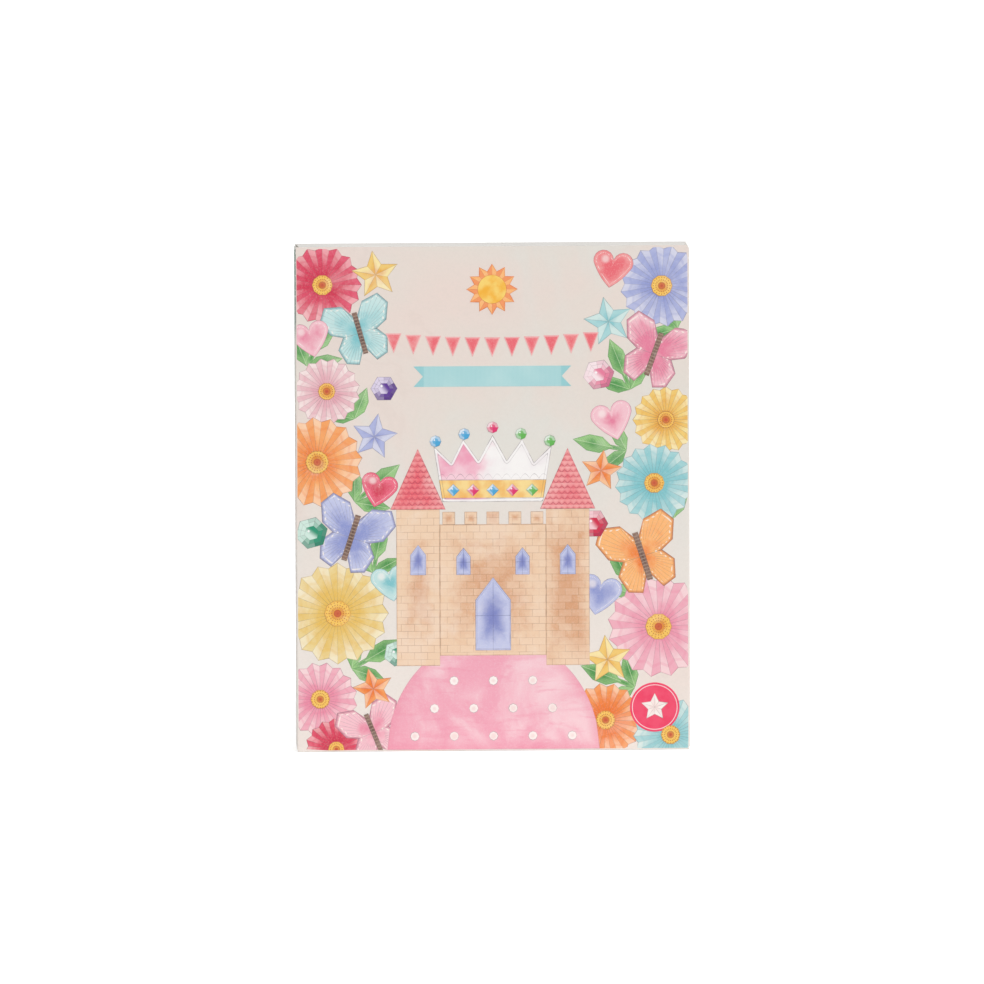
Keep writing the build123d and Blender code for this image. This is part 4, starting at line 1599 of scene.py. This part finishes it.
# %% Pencil barrels, in millimetres
PENCILS = (
    ("E2336B", "6B3D93"), ("F28A3C", "F4D35E"), ("4F9B4F", "7CC7CC"), ("3F86C6", "A9AFE2"),
    ("C8283F", "F2A7BC"), ("3B5560", "D9A06E"),
)
BARREL_RADIUS = 3.5
CONE_LENGTH = 14.0
LEAD_POINT = 5.0
LEAD_RADIUS = 1.5
CONE_SLOPE = CONE_LENGTH / (BARREL_RADIUS - LEAD_RADIUS)


def pencil_look(place, number):
    """Gloss paint in two colours with a pale ring between them, and wood grain past the scalloped edge."""
    low, high = (np.array(corner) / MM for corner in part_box(f"pencil_barrel_{number + 1}"))
    middle = (low + high) / 2
    x, y, z = millimetres(place)
    reach = abs(x)
    radius = hypot(y - middle[1], z - middle[2])
    wood = rise(reach - (high[0] - CONE_LENGTH) + (radius - BARREL_RADIUS) * CONE_SLOPE, -0.25, -0.1)
    grain = noise(stretch(place, (0.06, 1.0, 1.0)), 1400.0, 4.0, 0.6, 0.4)
    paint = lay(
        mix(rise(x, -0.05, 0.05), *PENCILS[number]),
        (fade(reach, 1.4, 1.6), "F2E9DC"),
        (rise(noise(place, 300.0, 3.0), 0.3, 0.7, 0.12), "FFFFFF"),
    )
    return {
        "Base Color": mix(wood, paint, mix(rise(grain, 0.32, 0.68), "D9A877", "F0CFA2")),
        "Roughness": step(wood, 0.0, 1.0, 0.2, 0.75),
        "Coat Weight": fade(wood, 0.0, 1.0, 0.8),
        "Coat Roughness": 0.08,
        "Normal": relief(grain * wood, 0.4, 0.1 * MM),
    }


for number in range(len(PENCILS)):
    dress(f"pencil_barrel_{number + 1}", f"pencil {number + 1} paint and wood", pencil_look, number)

# %% [markdown]
# ## Leads
#
# A lead's point is a turned shape: it leaves the wood at full width, tapers, and ends in a small round tip.
# All twelve are one piece, and each keeps its colour on its points.

# %% Turned points
LEAD_SIDES = 24
LEAD_ALONG = np.array([0.0, 0.04, 0.25, 0.5, 0.75, 0.92, 0.98])
LEAD_RADII = np.array([1.0, 0.98, 0.82, 0.63, 0.445, 0.315, 0.2])


def lead_shell(end, start, middle, tint):
    """Profile round the pencil's axis: x is the start plus the profile's length, y and z its circle."""
    turned = np.arange(LEAD_SIDES) * 2 * np.pi / LEAD_SIDES * end
    x = end * (start + LEAD_POINT * MM * LEAD_ALONG)[::-1, None]
    radii = (LEAD_RADIUS * MM * LEAD_RADII)[::-1, None]
    rings = rows_of(x, middle.y + radii * np.cos(turned), middle.z + radii * np.sin(turned))
    tip, foot = ((end * (start + length * MM), middle.y, middle.z) for length in (LEAD_POINT, 0.0))
    points = np.concatenate([[tip], rings, [foot]])
    return dict(
        points=points,
        own=np.tile(colour(tint)[:3], (len(points), 1)),
        wash=np.zeros((len(points), 3)),
        faces=fan_faces(LEAD_SIDES, len(LEAD_ALONG)),
        finish="lead in white",
    )


@pattern
def lead_paint(art):
    """Waxy coloured lead, its colour kept on the points, with fine turning marks."""
    marks = noise(stretch(art.place, (1.0, 0.2, 0.2)), 2600.0, 2.0)
    art.colour = mix(rise(marks, 0.4, 0.7, 0.25), art.own, "FFFFFF")


lead_shells = []
for number, tints in enumerate(PENCILS):
    low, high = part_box(f"pencil_barrel_{number + 1}")
    for end, tint in zip((-1, 1), tints):
        lead_shells.append(lead_shell(end, high.x, (low + high) / 2, tint))
leads = build_piece("pencil_lead_points", lead_shells)
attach(leads, "box")
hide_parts("pencil_leads")
